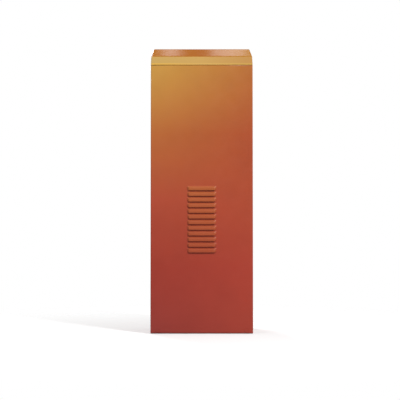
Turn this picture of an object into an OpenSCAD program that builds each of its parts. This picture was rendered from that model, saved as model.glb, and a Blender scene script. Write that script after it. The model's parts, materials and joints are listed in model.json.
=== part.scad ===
// Hydraulic parking barrier gate: sheet-steel upright with a louvred door, a bevelled lid,
// and the twin-plunger rocker drive that turns the boom shaft.
// +X is to the right of the door, -Y is the door side, +Z is up.
// The origin is the centre of the four anchor slots on the underside of the base.

/* [Upright] */
// Width of the upright across the door
cab_w = 385; // [360:1:470]
// Depth of the upright from the door face to the back
cab_d = 280; // [268:1:340]
// Height of the upright up to the lid joint
cab_h = 1012; // [1000:1:1250]
// Thickness of the folded steel sheet
sheet_t = 2.5; // [2:0.5:3]
// Outside radius of the folded vertical corners
corner_r = 4; // [3:0.5:6]
// Width of the lips around the door opening
lip_w = 22; // [18:1:26]
// Thickness of the base plate
base_t = 5; // [4:1:8]

/* [Anchors] */
// Anchor slot spacing across the door
anchor_x = 300; // [220:5:310]
// Anchor slot spacing front to back
anchor_y = 170; // [120:5:180]
// Radius of the anchor slots' round ends
anchor_r = 6.5; // [5:0.5:8]
// End-to-end length of an anchor slot
anchor_slot = 25; // [20:1:32]

/* [Door] */
// Depth of the folded door tray
door_depth = 20; // [16:1:24]
// Thickness of the door sheet
door_t = 1.5; // [1.2:0.1:2]
// Gap under the door and under the lid
door_gap = 1.5; // [1:0.5:3]

/* [Louvres] */
// Number of louvres
louvre_count = 12; // [4:1:14]
// Distance between louvres
louvre_pitch = 21.25; // [18:0.25:26]
// Width of a louvre at the sheet
louvre_w = 110; // [80:1:150]
// Height of a louvre's hood
louvre_h = 15; // [12:0.5:16]
// How far a hood stands out of the sheet
louvre_out = 6; // [4:0.5:8]
// Height of the lowest louvre's lip above the ground
louvre_z = 305; // [200:1:400]

/* [Lid] */
// Gap under the lid, which its seal fills
lid_gap = 1; // [0.5:0.1:2]
// Height of the lid's skirt
skirt_h = 32; // [26:0.5:40]
// Height of the lid's bevelled crown
bevel_h = 33; // [20:1:45]
// Inward lean of the skirt over its height
skirt_lean = 1.7; // [0:0.1:4]
// How far the crown's ends slope in
bevel_end = 9.5; // [5:0.5:30]
// How far the crown's long sides slope in
bevel_side = 28; // [15:1:50]
// Thickness of the lid sheet
lid_t = 2; // [1.5:0.5:3]

/* [Drive] */
// Height of the boom shaft above the ground
shaft_z = 860; // [840:1:870]
// Radius of the boom shaft
shaft_r = 17.5; // [15:0.5:20]
// Distance from the shaft to a rocker roller
rocker_r = 90; // [84:1:96]
// Radius of the rocker rollers
roller_r = 22; // [20:0.5:24]
// Radius of the plungers
plunger_r = 16; // [14:0.5:17]
// Outside radius of the cylinders
cylinder_r = 25; // [23:0.5:26]
// Length of the cylinder tubes
cylinder_len = 320; // [280:1:330]
// Depth of the rocker's middle plane
mech_y = 58; // [54:1:60]

/* [Balance spring] */
// Outside radius of the spring's coils
spring_r = 18; // [16:0.5:19]
// Radius of the spring wire
wire_r = 2.8; // [2:0.1:3]
// Number of coils
coils = 22; // [16:1:28]

/* [Boom flange] */
// Side of the square boom flange
flange_w = 120; // [110:1:140]
// Thickness of the boom flange
flange_t = 12; // [10:1:16]
// Spacing of the boom flange's bolt holes
flange_pitch = 80; // [76:1:90]
// Radius of the boom flange's bolt holes
flange_hole_r = 5.5; // [5:0.25:6.5]

/* [Power pack] */
// Width of the oil tank and manifold
pack_w = 200; // [190:1:210]
// Height of the support shelf above the ground
shelf_z = 150; // [130:1:160]
// Height of the oil tank
tank_h = 105; // [90:1:110]
// Height of the manifold block
block_h = 45; // [40:1:50]
// Radius of the electric motor's body
motor_r = 52; // [46:1:54]
// Height of the electric motor's body
motor_h = 138; // [120:1:140]

/* [Control box] */
// Width of the control box
box_w = 240; // [200:1:260]
// Height of the control box
box_h = 190; // [170:1:195]
// Depth of the control box with its cover
box_d = 70; // [60:1:72]

/* [Hidden] */
$fn = 48;
EPS = 0.01;
FIT = 0.3;         // seat clearance between pieces that only rest on each other
RUN = 0.05;        // radial clearance of a running fit
BOLT_CLEAR = 0.5;  // radial clearance round a bolt

// --- upright -------------------------------------------------------------------------------
front_y = -cab_d / 2;
back_y = cab_d / 2;
side_x = cab_w / 2;
shell_front_y = front_y + door_depth + door_gap;
lip_back_y = shell_front_y + sheet_t;
back_in_y = back_y - sheet_t;
side_in_x = side_x - sheet_t;
door_top_z = cab_h;
door_bot_z = door_gap * 2;
header_h = 60;
sill_h = 40;
top_flange_w = 22;
cable_w = 150;
cable_d = 90;

// --- lid -----------------------------------------------------------------------------------
lid_z = cab_h + lid_gap;
crown_z = lid_z + skirt_h;
lid_top_z = crown_z + bevel_h;
lid_lip = 14;
seal_w = 9;
lid_front_lip = door_depth + top_flange_w - 4;
lock_z = lid_z + skirt_h / 2;
lock_x = 0;
lock_r = 9;
lock_len = 26;
plug_r = 6;
lock_face_y = back_y - skirt_lean / 2;
cam_y = lock_face_y - lock_len - 8;

// --- drive ---------------------------------------------------------------------------------
linear_share = 0.925;                     // plunger travel per radian, as a share of rocker_r
stroke = linear_share * rocker_r * PI / 2;
swing = 45;                               // the rocker swings this far each side of level
pin_dx = rocker_r * cos(swing);
plunger_x = (rocker_r + pin_dx) / 2;
track_error = rocker_r * (linear_share * PI / 4 - sin(swing));
head_low_z = shaft_z - pin_dx - roller_r - FIT - track_error * 2;
head_high_z = head_low_z + stroke;
head_t = 10;
head_r = 20;
cylinder_z = shelf_z + sheet_t * 2 + tank_h + block_h;
cylinder_top_z = cylinder_z + cylinder_len;
gland_h = 22;
plunger_end_z = cylinder_z + 40;
arm_half = 9;
cheek_t = 8;
roller_w = 17;
cheek_gap = roller_w + 2 * FIT;
pin_r = 7;
hub_r = 34;
hub_len = cheek_gap + 2 * cheek_t + 8;
hub_front_y = mech_y - hub_len / 2;
hub_back_y = mech_y + hub_len / 2;
key_w = 10;
key_h = 8;

plate_t = 4;                              // operator frame plate
plate_back_y = back_in_y - 12.5;
plate_front_y = plate_back_y - plate_t;
plate_w = 250;
plate_bot_z = shelf_z - 25;
plate_top_z = shaft_z + 90;
bridge_t = 5;
// The spring stands clear of the bridge before it and of the cylinder behind it.
spring_gap = 3;
spring_y = mech_y - cylinder_r - spring_r - spring_gap;
bridge_front_y = spring_y - spring_r - 10;
bridge_w = 250;
bridge_bot_z = shaft_z - 80;
bridge_top_z = shaft_z + 80;
bearing_w = 84;
bearing_flange_t = 12;
bearing_boss_r = 32;
bearing_len = 28;
bearing_pitch = 62;
shaft_front_y = bridge_front_y - 66;
shaft_back_y = back_y + 8;
flange_y = back_y + 8;
washer_r = shaft_r + 4;
nut_seat_y = flange_y + flange_t - 4;
back_hole_r = 34;
frame_bolt_x = 100;
frame_bolt_zs = [plate_bot_z + 46, (plate_bot_z + plate_top_z) / 2, plate_top_z - 25];

stop_y0 = hub_back_y + 2;
stop_t = 8;
stop_r = 80;
stop_tip_r = 10;
stop_dx = stop_r * sin(swing);
stop_z = shaft_z + stop_r * cos(swing);
buffer_r = 8;
buffer_len = 14;

flag_r = 27;
flag_t = 3;
flag_ys = [bridge_front_y - bearing_len - 9, bridge_front_y - bearing_len - 21];
sensor_r = 4;
sensor_len = 50;
sensor_top_z = shaft_z - flag_r - 2;

// --- spring --------------------------------------------------------------------------------
spring_x = -pin_dx;
hook_r = 10;
spring_pin_z = shaft_z + pin_dx;
spring_top_z = spring_pin_z - hook_r - 8;
spring_foot_z = cylinder_z + 150;
spring_bot_z = spring_foot_z + hook_r + 8;
rod_r = 5;
wire_steps = 12;

// --- power pack ----------------------------------------------------------------------------
pack_y0 = -95;
pack_y1 = mech_y + 34;
shelf_t = sheet_t * 2;
tank_z = shelf_z + shelf_t;
block_z = tank_z + tank_h;
motor_x = 28;
motor_y = -40;
motor_z = cylinder_z;
motor_flange_h = 10;
motor_cap_h = 12;
cowl_h = 42;
terminal_half = 20;
rotor_r = 7;
screw_z = block_z + block_h / 2;
release_x = 55;
release_r = 8;
flap_y = back_y + 7.4;
flap_pin_y = flap_y + 1.1;
flap_pin_z = screw_z + 28.5;
flow_r = 7;
flow_xs = [-62, -32];
filler_x = -70;
filler_y = -62;

// --- control box ---------------------------------------------------------------------------
box_back_y = -40;
box_front_y = box_back_y - box_d;
box_bot_z = shaft_z - 95 - box_h;
cover_d = 22;
box_wall = 2.5;
bracket_t = 2;
gland_xs = [-80, -40, 20, 55, 90];
lead_r = 3;
box_mid_z = box_bot_z + box_h / 2;

// ============================ shapes used by many pieces ===================================
module along_y() { rotate([-90, 0, 0]) children(); }
module along_x() { rotate([0, 90, 0]) children(); }

// A rectangle from (x0, y0) to (x1, y1) with true round corners.
module round_rect(x0, y0, x1, y1, r) {
  translate([x0 + r, y0]) square([x1 - x0 - 2 * r, y1 - y0]);
  translate([x0, y0 + r]) square([x1 - x0, y1 - y0 - 2 * r]);
  for (x = [x0 + r, x1 - r], y = [y0 + r, y1 - r]) translate([x, y]) circle(r);
}

module slab(x0, x1, y0, y1, z0, z1) {
  translate([x0, y0, z0]) cube([x1 - x0, y1 - y0, z1 - z0]);
}

// A plate lying in X and Z, from y0 to y1, with round corners.
module upright_plate(x0, x1, z0, z1, y0, y1, r) {
  translate([0, y1, 0]) rotate([90, 0, 0]) linear_extrude(y1 - y0) round_rect(x0, z0, x1, z1, r);
}

module rod_y(x, z, y0, y1, r) { translate([x, y0, z]) along_y() cylinder(r = r, h = y1 - y0); }
module rod_x(y, z, x0, x1, r) { translate([x0, y, z]) along_x() cylinder(r = r, h = x1 - x0); }
module hex_z(across, h) { cylinder(r = across / sqrt(3), h = h, $fn = 6); }

// Four children, one at each corner of a rectangle.
module corners_xy(dx, dy) { for (x = [-dx / 2, dx / 2], y = [-dy / 2, dy / 2]) translate([x, y, 0])
    children(); }
module corners_xz(dx, dz) { for (x = [-dx / 2, dx / 2], z = [-dz / 2, dz / 2]) translate([x, 0, z])
    children(); }

module slot_xy(length, r, h) {
  slab(-length / 2 + r, length / 2 - r, -r, r, 0, h);
  for (s = [-1, 1]) translate([s * (length / 2 - r), 0, 0]) cylinder(r = r, h = h);
}

// ================================== the upright ============================================
// One folded sheet: back, two sides and the lips, with a header, a sill and a top flange.
module cabinet_shell() color("#c4562f") {
  difference() {
    union() {
      linear_extrude(cab_h) difference() {
        round_rect(-side_x, shell_front_y, side_x, back_y, corner_r);
        round_rect(-side_in_x, lip_back_y, side_in_x, back_in_y, corner_r - sheet_t + EPS);
        translate([-side_x + lip_w, shell_front_y - 1]) square([cab_w - 2 * lip_w, sheet_t + 2]);
      }
      slab(-side_x + lip_w - EPS, side_x - lip_w + EPS, shell_front_y, lip_back_y, cab_h - header_h, cab_h);
      slab(-side_x + lip_w - EPS, side_x - lip_w + EPS, shell_front_y, lip_back_y, 0, sill_h);
      translate([0, 0, cab_h - sheet_t]) linear_extrude(sheet_t) difference() {
        round_rect(-side_in_x - EPS, lip_back_y - EPS, side_in_x + EPS, back_in_y + EPS,
            corner_r - sheet_t);
        round_rect(-side_x + top_flange_w, shell_front_y + top_flange_w, side_x - top_flange_w,
                   back_y - top_flange_w, 3);
      }
    }
    rod_y(0, shaft_z, back_in_y - 1, back_y + 1, back_hole_r);
    frame_bolt_holes(back_in_y - 1, back_y + 1);
    rod_y(release_x, screw_z, back_in_y - 1, back_y + 1, release_r + 3);
    door_screw_holes(shell_front_y - 1, lip_back_y + 1);
  }
}

// The plate welded into the foot of the upright, with the anchor slots and the cable opening.
module base_plate() color("#9a9a9a") difference() {
  linear_extrude(base_t) round_rect(-side_in_x, lip_back_y, side_in_x, back_in_y, 6);
  translate([0, 0, -1]) corners_xy(anchor_x, anchor_y) slot_xy(anchor_slot, anchor_r, base_t + 2);
  translate([0, 0, -1]) linear_extrude(base_t + 2)
      round_rect(-cable_w / 2, -cable_d / 2, cable_w / 2, cable_d / 2, 10);
}

// ==================================== the lid ==============================================
// Cross-sections of the lid, from its lower edge to the top of the crown, drawn in by inset.
module lid_solid(inset) {
  x0 = side_x - inset;
  y0 = back_y - inset;
  x1 = side_x - skirt_lean - inset;
  y1 = back_y - skirt_lean - inset;
  x2 = x1 - bevel_end;
  y2 = y1 - bevel_side;
  polyhedron(
    points = [for (level = [[x0, y0, lid_z], [x1, y1, crown_z], [x2, y2, lid_top_z - inset]])
              each [[-level[0], -level[1], level[2]], [level[0], -level[1], level[2]],
                    [level[0], level[1], level[2]], [-level[0], level[1], level[2]]]],
    faces = concat([[0, 1, 2, 3]],
                   [for (k = [0, 4], i = [0:3]) [k + i, k + 4 + i, k + 4 + (i + 1) % 4, k + (i + 1) % 4]],
                   [[11, 10, 9, 8]]));
}

module lid_cover() color("#d08a45") difference() {
  union() {
    difference() {
      lid_solid(0);
      translate([0, 0, -EPS]) lid_solid(lid_t);
    }
    // the lip folded in along the lower edge, wider over the door
    linear_extrude_at(lid_z, lid_t) difference() {
      square([cab_w - 2, cab_d - 2], center = true);
      translate([-side_x + lid_lip, front_y + lid_front_lip])
        square([cab_w - 2 * lid_lip, cab_d - lid_lip - lid_front_lip]);
    }
  }
  rod_y(lock_x, lock_z, back_y - 40, back_y + 5, lock_r + 0.2);
  slab(lock_x - 14, lock_x + 14, back_y - lid_lip - 1, back_y - lid_t - 1.5, lid_z - 1, lid_z + lid_t + 1);
}

module linear_extrude_at(z, h) { translate([0, 0, z]) linear_extrude(h) children(); }

// The sponge strip on the upright's top flange, parted at the lock.
module lid_seal() color("#202020") linear_extrude_at(cab_h, lid_gap) difference() {
  x = side_x - 4;
  translate([-x, shell_front_y + 1]) square([2 * x, back_y - 4 - shell_front_y - 1]);
  translate([-x + seal_w, shell_front_y + 1 + seal_w])
    square([2 * (x - seal_w), back_y - 4 - shell_front_y - 1 - 2 * seal_w]);
  translate([lock_x - 16, back_y - 30]) square([32, 30]);
}

module lid_lock_body() color("#b9bcc0") difference() {
  union() {
    rod_y(lock_x, lock_z, lock_face_y - lock_len, lock_face_y + 0.7, lock_r);
    rod_y(lock_x, lock_z, lock_face_y + 0.6, lock_face_y + 3.6, lock_r + 2.5);
    translate([lock_x, lock_face_y - 9, lock_z]) along_y() cylinder(r = 12 / cos(30) - 0.5, h = 5, $fn = 6);
  }
  rod_y(lock_x, lock_z, lock_face_y - lock_len - 1, lock_face_y + 5, plug_r + RUN);
}

module lid_lock_plug() color("#8f9296") difference() {
  union() {
    rod_y(lock_x, lock_z, lock_face_y - lock_len - 5, lock_face_y + 3, plug_r);
    translate([lock_x, cam_y - 1, lock_z]) along_y() cylinder(r = 5, h = 5, $fn = 6);
  }
  slab(lock_x - 0.9, lock_x + 0.9, lock_face_y - 4, lock_face_y + 4, lock_z - 3.6, lock_z + 3.6);
}

// The cam hangs down when the lock is open and turns aside, under the keeper, to hold the lid.
module lid_lock_cam() color("#a8abb0")
  translate([lock_x, cam_y, lock_z]) along_y() difference() {
    linear_extrude(3) union() {
      circle(8);
      translate([-8, 0]) square([16, 20]);
      translate([0, 20]) circle(8);
    }
    translate([0, 0, -1]) cylinder(r = 5.1, h = 5, $fn = 6);
  }

// The hook on the top flange that the turned cam sits under.
module lock_keeper() color("#a8abb0") {
  under_z = cab_h - sheet_t;
  hook_z = lock_z + 8 + FIT;
  slab(lock_x + 30, lock_x + 42, cam_y - 3, back_y - top_flange_w + 12, under_z - 2, under_z);
  slab(lock_x + 31, lock_x + 34, cam_y - 3, cam_y + 6, under_z - 2, hook_z + 2.5);
  slab(lock_x + 13, lock_x + 34, cam_y - 3, cam_y + 6, hook_z, hook_z + 2.5);
}

// =================================== the door ==============================================
module louvre_hood(extra) {
  half = louvre_w / 2 + extra;
  out = louvre_out + extra;
  taper = louvre_out;
  intersection() {
    translate([-half, 0, 0]) rotate([90, 0, 90]) linear_extrude(2 * half)
      polygon([[1, -extra], [-out, -extra], [-out, 2 + extra * 0.4], [0, louvre_h + extra],
          [1, louvre_h + extra]]);
    translate([0, 2, 0]) rotate([90, 0, 0]) linear_extrude(out + 3)
      polygon([[-half, -extra], [half, -extra], [half, 4], [half - taper, louvre_h + extra],
               [taper - half, louvre_h + extra], [-half, 4]]);
    linear_extrude(3 * louvre_h, center = true)
      polygon([[-half, 1], [-half, 0], [-half + taper, -out], [half - taper, -out], [half, 0], [half, 1]]);
  }
}

module door_screw_holes(y0, y1) {
  for (x = [-side_x + 26, side_x - 26]) rod_y(x, 11, y0, y1, 2.5 + BOLT_CLEAR);
}

module door_panel() color("#b9492f") difference() {
  union() {
    difference() {
      linear_extrude_at(door_bot_z, door_top_z - door_bot_z)
        round_rect_open_back(side_x, front_y, front_y + door_depth, corner_r);
      linear_extrude_at(door_bot_z + door_t, door_top_z - door_bot_z - 2 * door_t)
        round_rect_open_back(side_x - door_t, front_y + door_t, front_y + door_depth + 1,
            corner_r - door_t);
    }
    for (i = [0:louvre_count - 1]) translate([0, front_y + EPS, louvre_z + i * louvre_pitch])
        louvre_hood(0);
  }
  for (i = [0:louvre_count - 1]) translate([0, front_y + door_t, louvre_z + i * louvre_pitch])
      louvre_hollow();
  door_screw_holes(front_y - 1, front_y + door_t + 1);
}

// A rectangle whose front corners only are round.
module round_rect_open_back(half_w, y0, y1, r) {
  translate([-half_w, y0 + r]) square([2 * half_w, y1 - y0 - r]);
  translate([-half_w + r, y0]) square([2 * half_w - 2 * r, r + EPS]);
  for (s = [-1, 1]) translate([s * (half_w - r), y0 + r]) circle(r);
}

// The inside of a hood, open below and through the sheet behind it.
module louvre_hollow() {
  half = louvre_w / 2 - door_t;
  out = louvre_out;
  intersection() {
    translate([-half, 0, 0]) rotate([90, 0, 90]) linear_extrude(2 * half)
      polygon([[2, 3], [-door_t, 3], [-door_t, -2], [-out, -2], [-out, 1.5], [-door_t, louvre_h - 3],
          [2, louvre_h - 3]]);
    linear_extrude(3 * louvre_h, center = true)
      polygon([[-half, 3], [-half, -door_t], [-half + out - door_t, -out - 1],
          [half - out + door_t, -out - 1],
               [half, -door_t], [half, 3]]);
  }
}

// The sponge frame bonded inside the tray, which meets the lips.
module door_seal() color("#202020") difference() {
  seal_y0 = front_y + door_t;
  seal_y1 = shell_front_y - FIT;
  slab(-side_x + 6, side_x - 6, seal_y0, seal_y1, 22, cab_h - 12);
  slab(-side_x + 16, side_x - 16, seal_y0 - 1, seal_y1 + 1, 32, cab_h - 22);
}

module door_screws() color("#7d3a30")
  for (x = [-side_x + 26, side_x - 26]) {
    rod_y(x, 11, front_y - 2.4, front_y, 5);
    rod_y(x, 11, front_y - EPS, lip_back_y + 6, 2.5);
  }

// ============================== the operator's frame =======================================
module frame_bolt_holes(y0, y1) {
  for (x = [-frame_bolt_x, frame_bolt_x], z = frame_bolt_zs) rod_y(x, z, y0, y1, 4 + BOLT_CLEAR);
}

module frame_plate() color("#b4b7ba") difference() {
  upright_plate(-plate_w / 2, plate_w / 2, plate_bot_z, plate_top_z, plate_front_y, plate_back_y, 12);
  rod_y(0, shaft_z, plate_front_y - 1, plate_back_y + 1, shaft_r + 3);
  frame_bolt_holes(plate_front_y - 1, plate_back_y + 1);
  rod_y(release_x, screw_z, plate_front_y - 1, plate_back_y + 1, release_r + 3);
  translate([0, plate_front_y - 1, shaft_z]) bearing_bolt_spots() along_y()
    cylinder(r = 4 + BOLT_CLEAR, h = plate_t + 2);
  upright_plate(-55, 55, cylinder_z + 30, cylinder_top_z - 40, plate_front_y - 1, plate_back_y + 1, 15);
}

module frame_bolts() color("#8f9296")
  for (x = [-frame_bolt_x, frame_bolt_x], z = frame_bolt_zs) {
    rod_y(x, z, plate_front_y - 10, back_y + EPS, 4);
    translate([x, back_y, z]) along_y() cylinder(r1 = 8, r2 = 5, h = 4);
    translate([x, plate_front_y - 6.5, z]) along_y() hex_z(13, 6.5);
    rod_y(x, z, plate_back_y, back_in_y, 9);
  }

module bearing_bolt_spots() { corners_xz(bearing_pitch, bearing_pitch) children(); }

module bearing_bridge() color("#b4b7ba") difference() {
  union() {
    upright_plate(-bridge_w / 2, bridge_w / 2, bridge_bot_z, bridge_top_z, bridge_front_y,
                  bridge_front_y + bridge_t, 8);
    for (s = [-1, 1]) {
      slab(s * bridge_w / 2 - (s > 0 ? bridge_t : 0), s * bridge_w / 2 + (s > 0 ? 0 : bridge_t),
           bridge_front_y + bridge_t - EPS, plate_front_y, bridge_bot_z + 8, bridge_top_z - 8);
    }
  }
  rod_y(0, shaft_z, bridge_front_y - 1, bridge_front_y + bridge_t + 1, shaft_r + 3);
  translate([0, bridge_front_y - 1, shaft_z]) bearing_bolt_spots() along_y()
      cylinder(r = 4 + BOLT_CLEAR, h = bridge_t + 2);
  for (s = [-1, 1])
    rod_x(stop_y0 + stop_t / 2, stop_z, s * bridge_w / 2 - bridge_t - 1,
        s * bridge_w / 2 + bridge_t + 1, 6 + BOLT_CLEAR);
}

// A cast flange bearing with a bronze-lined bore; toward is +1 where its boss points to +Y.
module flange_bearing(face_y, toward) difference() {
  union() {
    upright_plate(-bearing_w / 2, bearing_w / 2, shaft_z - bearing_w / 2, shaft_z + bearing_w / 2,
                  min(face_y, face_y + toward * bearing_flange_t),
                      max(face_y, face_y + toward * bearing_flange_t), 10);
    rod_y(0, shaft_z, min(face_y, face_y + toward * bearing_len),
        max(face_y, face_y + toward * bearing_len),
          bearing_boss_r);
  }
  rod_y(0, shaft_z, face_y - bearing_len - 1, face_y + bearing_len + 1, shaft_r + RUN);
  translate([0, face_y - bearing_len, shaft_z]) bearing_bolt_spots() along_y()
      cylinder(r = 4 + BOLT_CLEAR, h = 2 * bearing_len);
}

module bearing_front() color("#7f8386") flange_bearing(bridge_front_y, -1);
module bearing_rear() color("#7f8386") flange_bearing(plate_front_y, -1);

module bearing_bolts() color("#8f9296") {
  for (face = [[bridge_front_y, bridge_t], [plate_front_y, plate_t]])
    translate([0, face[0], shaft_z]) bearing_bolt_spots() {
      translate([0, -bearing_flange_t - 5.5, 0]) along_y() hex_z(13, 5.5);
      translate([0, -bearing_flange_t - EPS, 0]) along_y()
          cylinder(r = 4, h = bearing_flange_t + face[1] + 5.5);
      translate([0, face[1], 0]) along_y() hex_z(13, 5);
    }
}

// ================================ shaft and rocker =========================================
module drive_shaft() color("#a8abb0") difference() {
  union() {
    rod_y(0, shaft_z, shaft_front_y, nut_seat_y, shaft_r);
    rod_y(0, shaft_z, nut_seat_y - EPS, nut_seat_y + 22, 10);
  }
  keyway(hub_front_y, hub_back_y);
  keyway(flange_y, nut_seat_y);
}

module keyway(y0, y1) {
  slab(-key_w / 2 - RUN, key_w / 2 + RUN, y0, y1, shaft_z + shaft_r - key_h / 2, shaft_z + shaft_r + key_h);
}

module shaft_keys() color("#c9a04e") {
  for (span = [[hub_front_y, hub_back_y], [flange_y, nut_seat_y]])
    slab(-key_w / 2, key_w / 2, span[0], span[1], shaft_z + shaft_r - key_h / 2,
        shaft_z + shaft_r + key_h / 2);
}

// A rocker cheek: a hub disc with an arm at each end, level before the swing is applied.
module cheek_outline() {
  circle(hub_r);
  translate([-rocker_r, -arm_half]) square([2 * rocker_r, 2 * arm_half]);
  for (s = [-1, 1]) translate([s * rocker_r, 0]) circle(arm_half + 2);
}

module rocker_arm() color("#5b6066") difference() {
  union() {
    translate([0, 0, shaft_z]) rotate([0, swing, 0]) {
      for (s = [-1, 1])
        translate([0, mech_y + s * (cheek_gap + cheek_t) / 2 + cheek_t / 2, 0])
          rotate([90, 0, 0]) linear_extrude(cheek_t) cheek_outline();
      translate([0, mech_y + cheek_gap / 2 + EPS, 0]) rotate([90, 0, 0])
        linear_extrude(cheek_gap + 2 * EPS) square([2 * hub_r + 14, 2 * arm_half - 2], center = true);
    }
    rod_y(0, shaft_z, hub_front_y, hub_back_y, hub_r - 4);
  }
  rod_y(0, shaft_z, hub_front_y - 1, hub_back_y + 1, shaft_r + RUN);
  slab(-key_w / 2 - RUN, key_w / 2 + RUN, hub_front_y - 1, hub_back_y + 1, shaft_z + shaft_r - 2,
       shaft_z + shaft_r + key_h / 2 + RUN);
  for (s = [-1, 1]) rod_y(s * pin_dx, shaft_z - s * pin_dx, hub_front_y - 1, hub_back_y + 1, pin_r + RUN);
}

// The closing side's pin reaches forward to carry the balance spring.
module roller_pins() color("#c8cacc") {
  cheeks_y0 = mech_y - cheek_gap / 2 - cheek_t;
  cheeks_y1 = mech_y + cheek_gap / 2 + cheek_t;
  rod_y(pin_dx, shaft_z - pin_dx, cheeks_y0 - 4, cheeks_y1 + 1, pin_r);
  rod_y(-pin_dx, shaft_z + pin_dx, spring_y - 8, cheeks_y1 + 1, pin_r);
  rod_y(-pin_dx, shaft_z + pin_dx, spring_y - 11, spring_y - 8 + EPS, pin_r + 3);
}

module roller(s) difference() {
  rod_y(s * pin_dx, shaft_z - s * pin_dx, mech_y - roller_w / 2, mech_y + roller_w / 2, roller_r);
  rod_y(s * pin_dx, shaft_z - s * pin_dx, mech_y - roller_w, mech_y + roller_w, pin_r + RUN);
}
module roller_open() color("#d0d2d4") roller(1);
module roller_close() color("#d0d2d4") roller(-1);

// The lever that meets the stop buffers; it leans right when the boom is down.
module stop_lever() color("#5b6066") difference() {
  union() {
    rod_y(0, shaft_z, stop_y0, stop_y0 + stop_t, shaft_r + 10);
    translate([0, stop_y0 + stop_t, shaft_z]) rotate([90, 0, 0]) linear_extrude(stop_t) rotate(90 - swing) {
      translate([0, -stop_tip_r]) square([stop_r, 2 * stop_tip_r]);
      translate([stop_r, 0]) circle(stop_tip_r);
    }
  }
  rod_y(0, shaft_z, stop_y0 - 1, stop_y0 + stop_t + 1, shaft_r + RUN);
}

module stop_bolts() color("#8f9296") for (s = [-1, 1]) mirror([s < 0 ? 1 : 0, 0, 0]) {
  y = stop_y0 + stop_t / 2;
  x0 = stop_dx + stop_tip_r + FIT + buffer_len;
  rod_x(y, stop_z, x0, bridge_w / 2 + 24, 6);
  translate([bridge_w / 2, y, stop_z]) along_x() hex_z(19, 8);
  translate([bridge_w / 2 - bridge_t - 8, y, stop_z]) along_x() hex_z(19, 8);
}

module stop_buffers() color("#202020") for (s = [-1, 1]) mirror([s < 0 ? 1 : 0, 0, 0])
  rod_x(stop_y0 + stop_t / 2, stop_z, stop_dx + stop_tip_r + FIT,
      stop_dx + stop_tip_r + FIT + buffer_len, buffer_r);

// Two notched discs clamped on the shaft's front end, one for each limit sensor.
module limit_flags() color("#d6b24a") for (k = [0:1]) difference() {
  rod_y(0, shaft_z, flag_ys[k] - flag_t, flag_ys[k], flag_r);
  rod_y(0, shaft_z, flag_ys[k] - flag_t - 1, flag_ys[k] + 1, shaft_r + RUN);
  translate([0, flag_ys[k] - flag_t / 2, shaft_z]) rotate([0, k == 0 ? 0 : 90, 0])
    slab(-6, 6, -flag_t, flag_t, -flag_r - 1, -flag_r + 5);
}

module sensor_bracket() color("#b4b7ba") difference() {
  union() {
    slab(-22, 22, flag_ys[1] - 12, bridge_front_y, bridge_bot_z + 12, bridge_bot_z + 15);
    slab(-22, 22, bridge_front_y - 3, bridge_front_y, bridge_bot_z, bridge_bot_z + 13);
  }
  for (k = [0:1]) translate([0, flag_ys[k] - flag_t / 2, bridge_bot_z])
      cylinder(r = sensor_r + BOLT_CLEAR, h = 30);
}

module limit_sensors() color("#d9c23a") for (k = [0:1])
  translate([0, flag_ys[k] - flag_t / 2, 0]) {
    translate([0, 0, sensor_top_z - sensor_len]) cylinder(r = sensor_r, h = sensor_len);
    translate([0, 0, bridge_bot_z + 15]) hex_z(10, 3);
    translate([0, 0, bridge_bot_z + 9]) hex_z(10, 3);
  }

// ============================ cylinders and plungers =======================================
module cylinder_tube(x) difference() {
  translate([x, mech_y, cylinder_z]) cylinder(r = cylinder_r, h = cylinder_len);
  translate([x, mech_y, cylinder_z + 25]) cylinder(r = plunger_r + 3, h = cylinder_len);
}
module cylinder_open() color("#3c4043") cylinder_tube(plunger_x);
module cylinder_close() color("#3c4043") cylinder_tube(-plunger_x);

module cylinder_glands() color("#c9a04e") for (s = [-1, 1])
    translate([s * plunger_x, mech_y, cylinder_top_z]) difference() {
  union() {
    cylinder(r = cylinder_r + 2, h = gland_h);
    translate([0, 0, -30]) cylinder(r = plunger_r + 3, h = 30 + EPS);
  }
  translate([0, 0, -31]) cylinder(r = plunger_r + RUN, h = gland_h + 32);
}

module plunger(x, head_z) {
  translate([x, mech_y, plunger_end_z + head_z - head_low_z])
    cylinder(r = plunger_r, h = head_low_z - head_t - plunger_end_z + EPS);
  translate([x, mech_y, head_z - head_t]) cylinder(r = head_r, h = head_t);
}
module plunger_open() color("#dfe2e4") plunger(plunger_x, head_low_z);
module plunger_close() color("#dfe2e4") plunger(-plunger_x, head_high_z);

module cylinder_clamp() color("#7f8386") difference() {
  clamp_z = cylinder_top_z - 70;
  linear_extrude_at(clamp_z, 20) round_rect(-plunger_x - 36, mech_y - 34, plunger_x + 36, plate_front_y, 4);
  for (s = [-1, 1]) translate([s * plunger_x, mech_y, clamp_z - 1]) cylinder(r = cylinder_r + RUN, h = 22);
  translate([spring_x, spring_y, clamp_z - 1]) cylinder(r = spring_r + 2, h = 22);
  linear_extrude_at(clamp_z - 1, 22)
      round_rect(-plunger_x + 38, mech_y - 20, plunger_x - 38, plate_front_y - 14, 6);
}

// =================================== the spring ============================================
function coil_point(turn) = [
  spring_x + (spring_r - wire_r) * cos(360 * turn),
  spring_y + (spring_r - wire_r) * sin(360 * turn),
  spring_bot_z + (spring_top_z - spring_bot_z) * turn / coils];
function hook_point(z, a) = [spring_x + hook_r * cos(a), spring_y, z + hook_r * sin(a)];
function lead_point(z, up) = [
  [spring_x + hook_r + 0.4, spring_y, z + up * 5],
  [spring_x + hook_r + 2.2, spring_y + up * 0.3, z + up * 10],
  [spring_x + spring_r - wire_r - 0.8, spring_y + up * 1.8, z + up * 14.5]];

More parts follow.
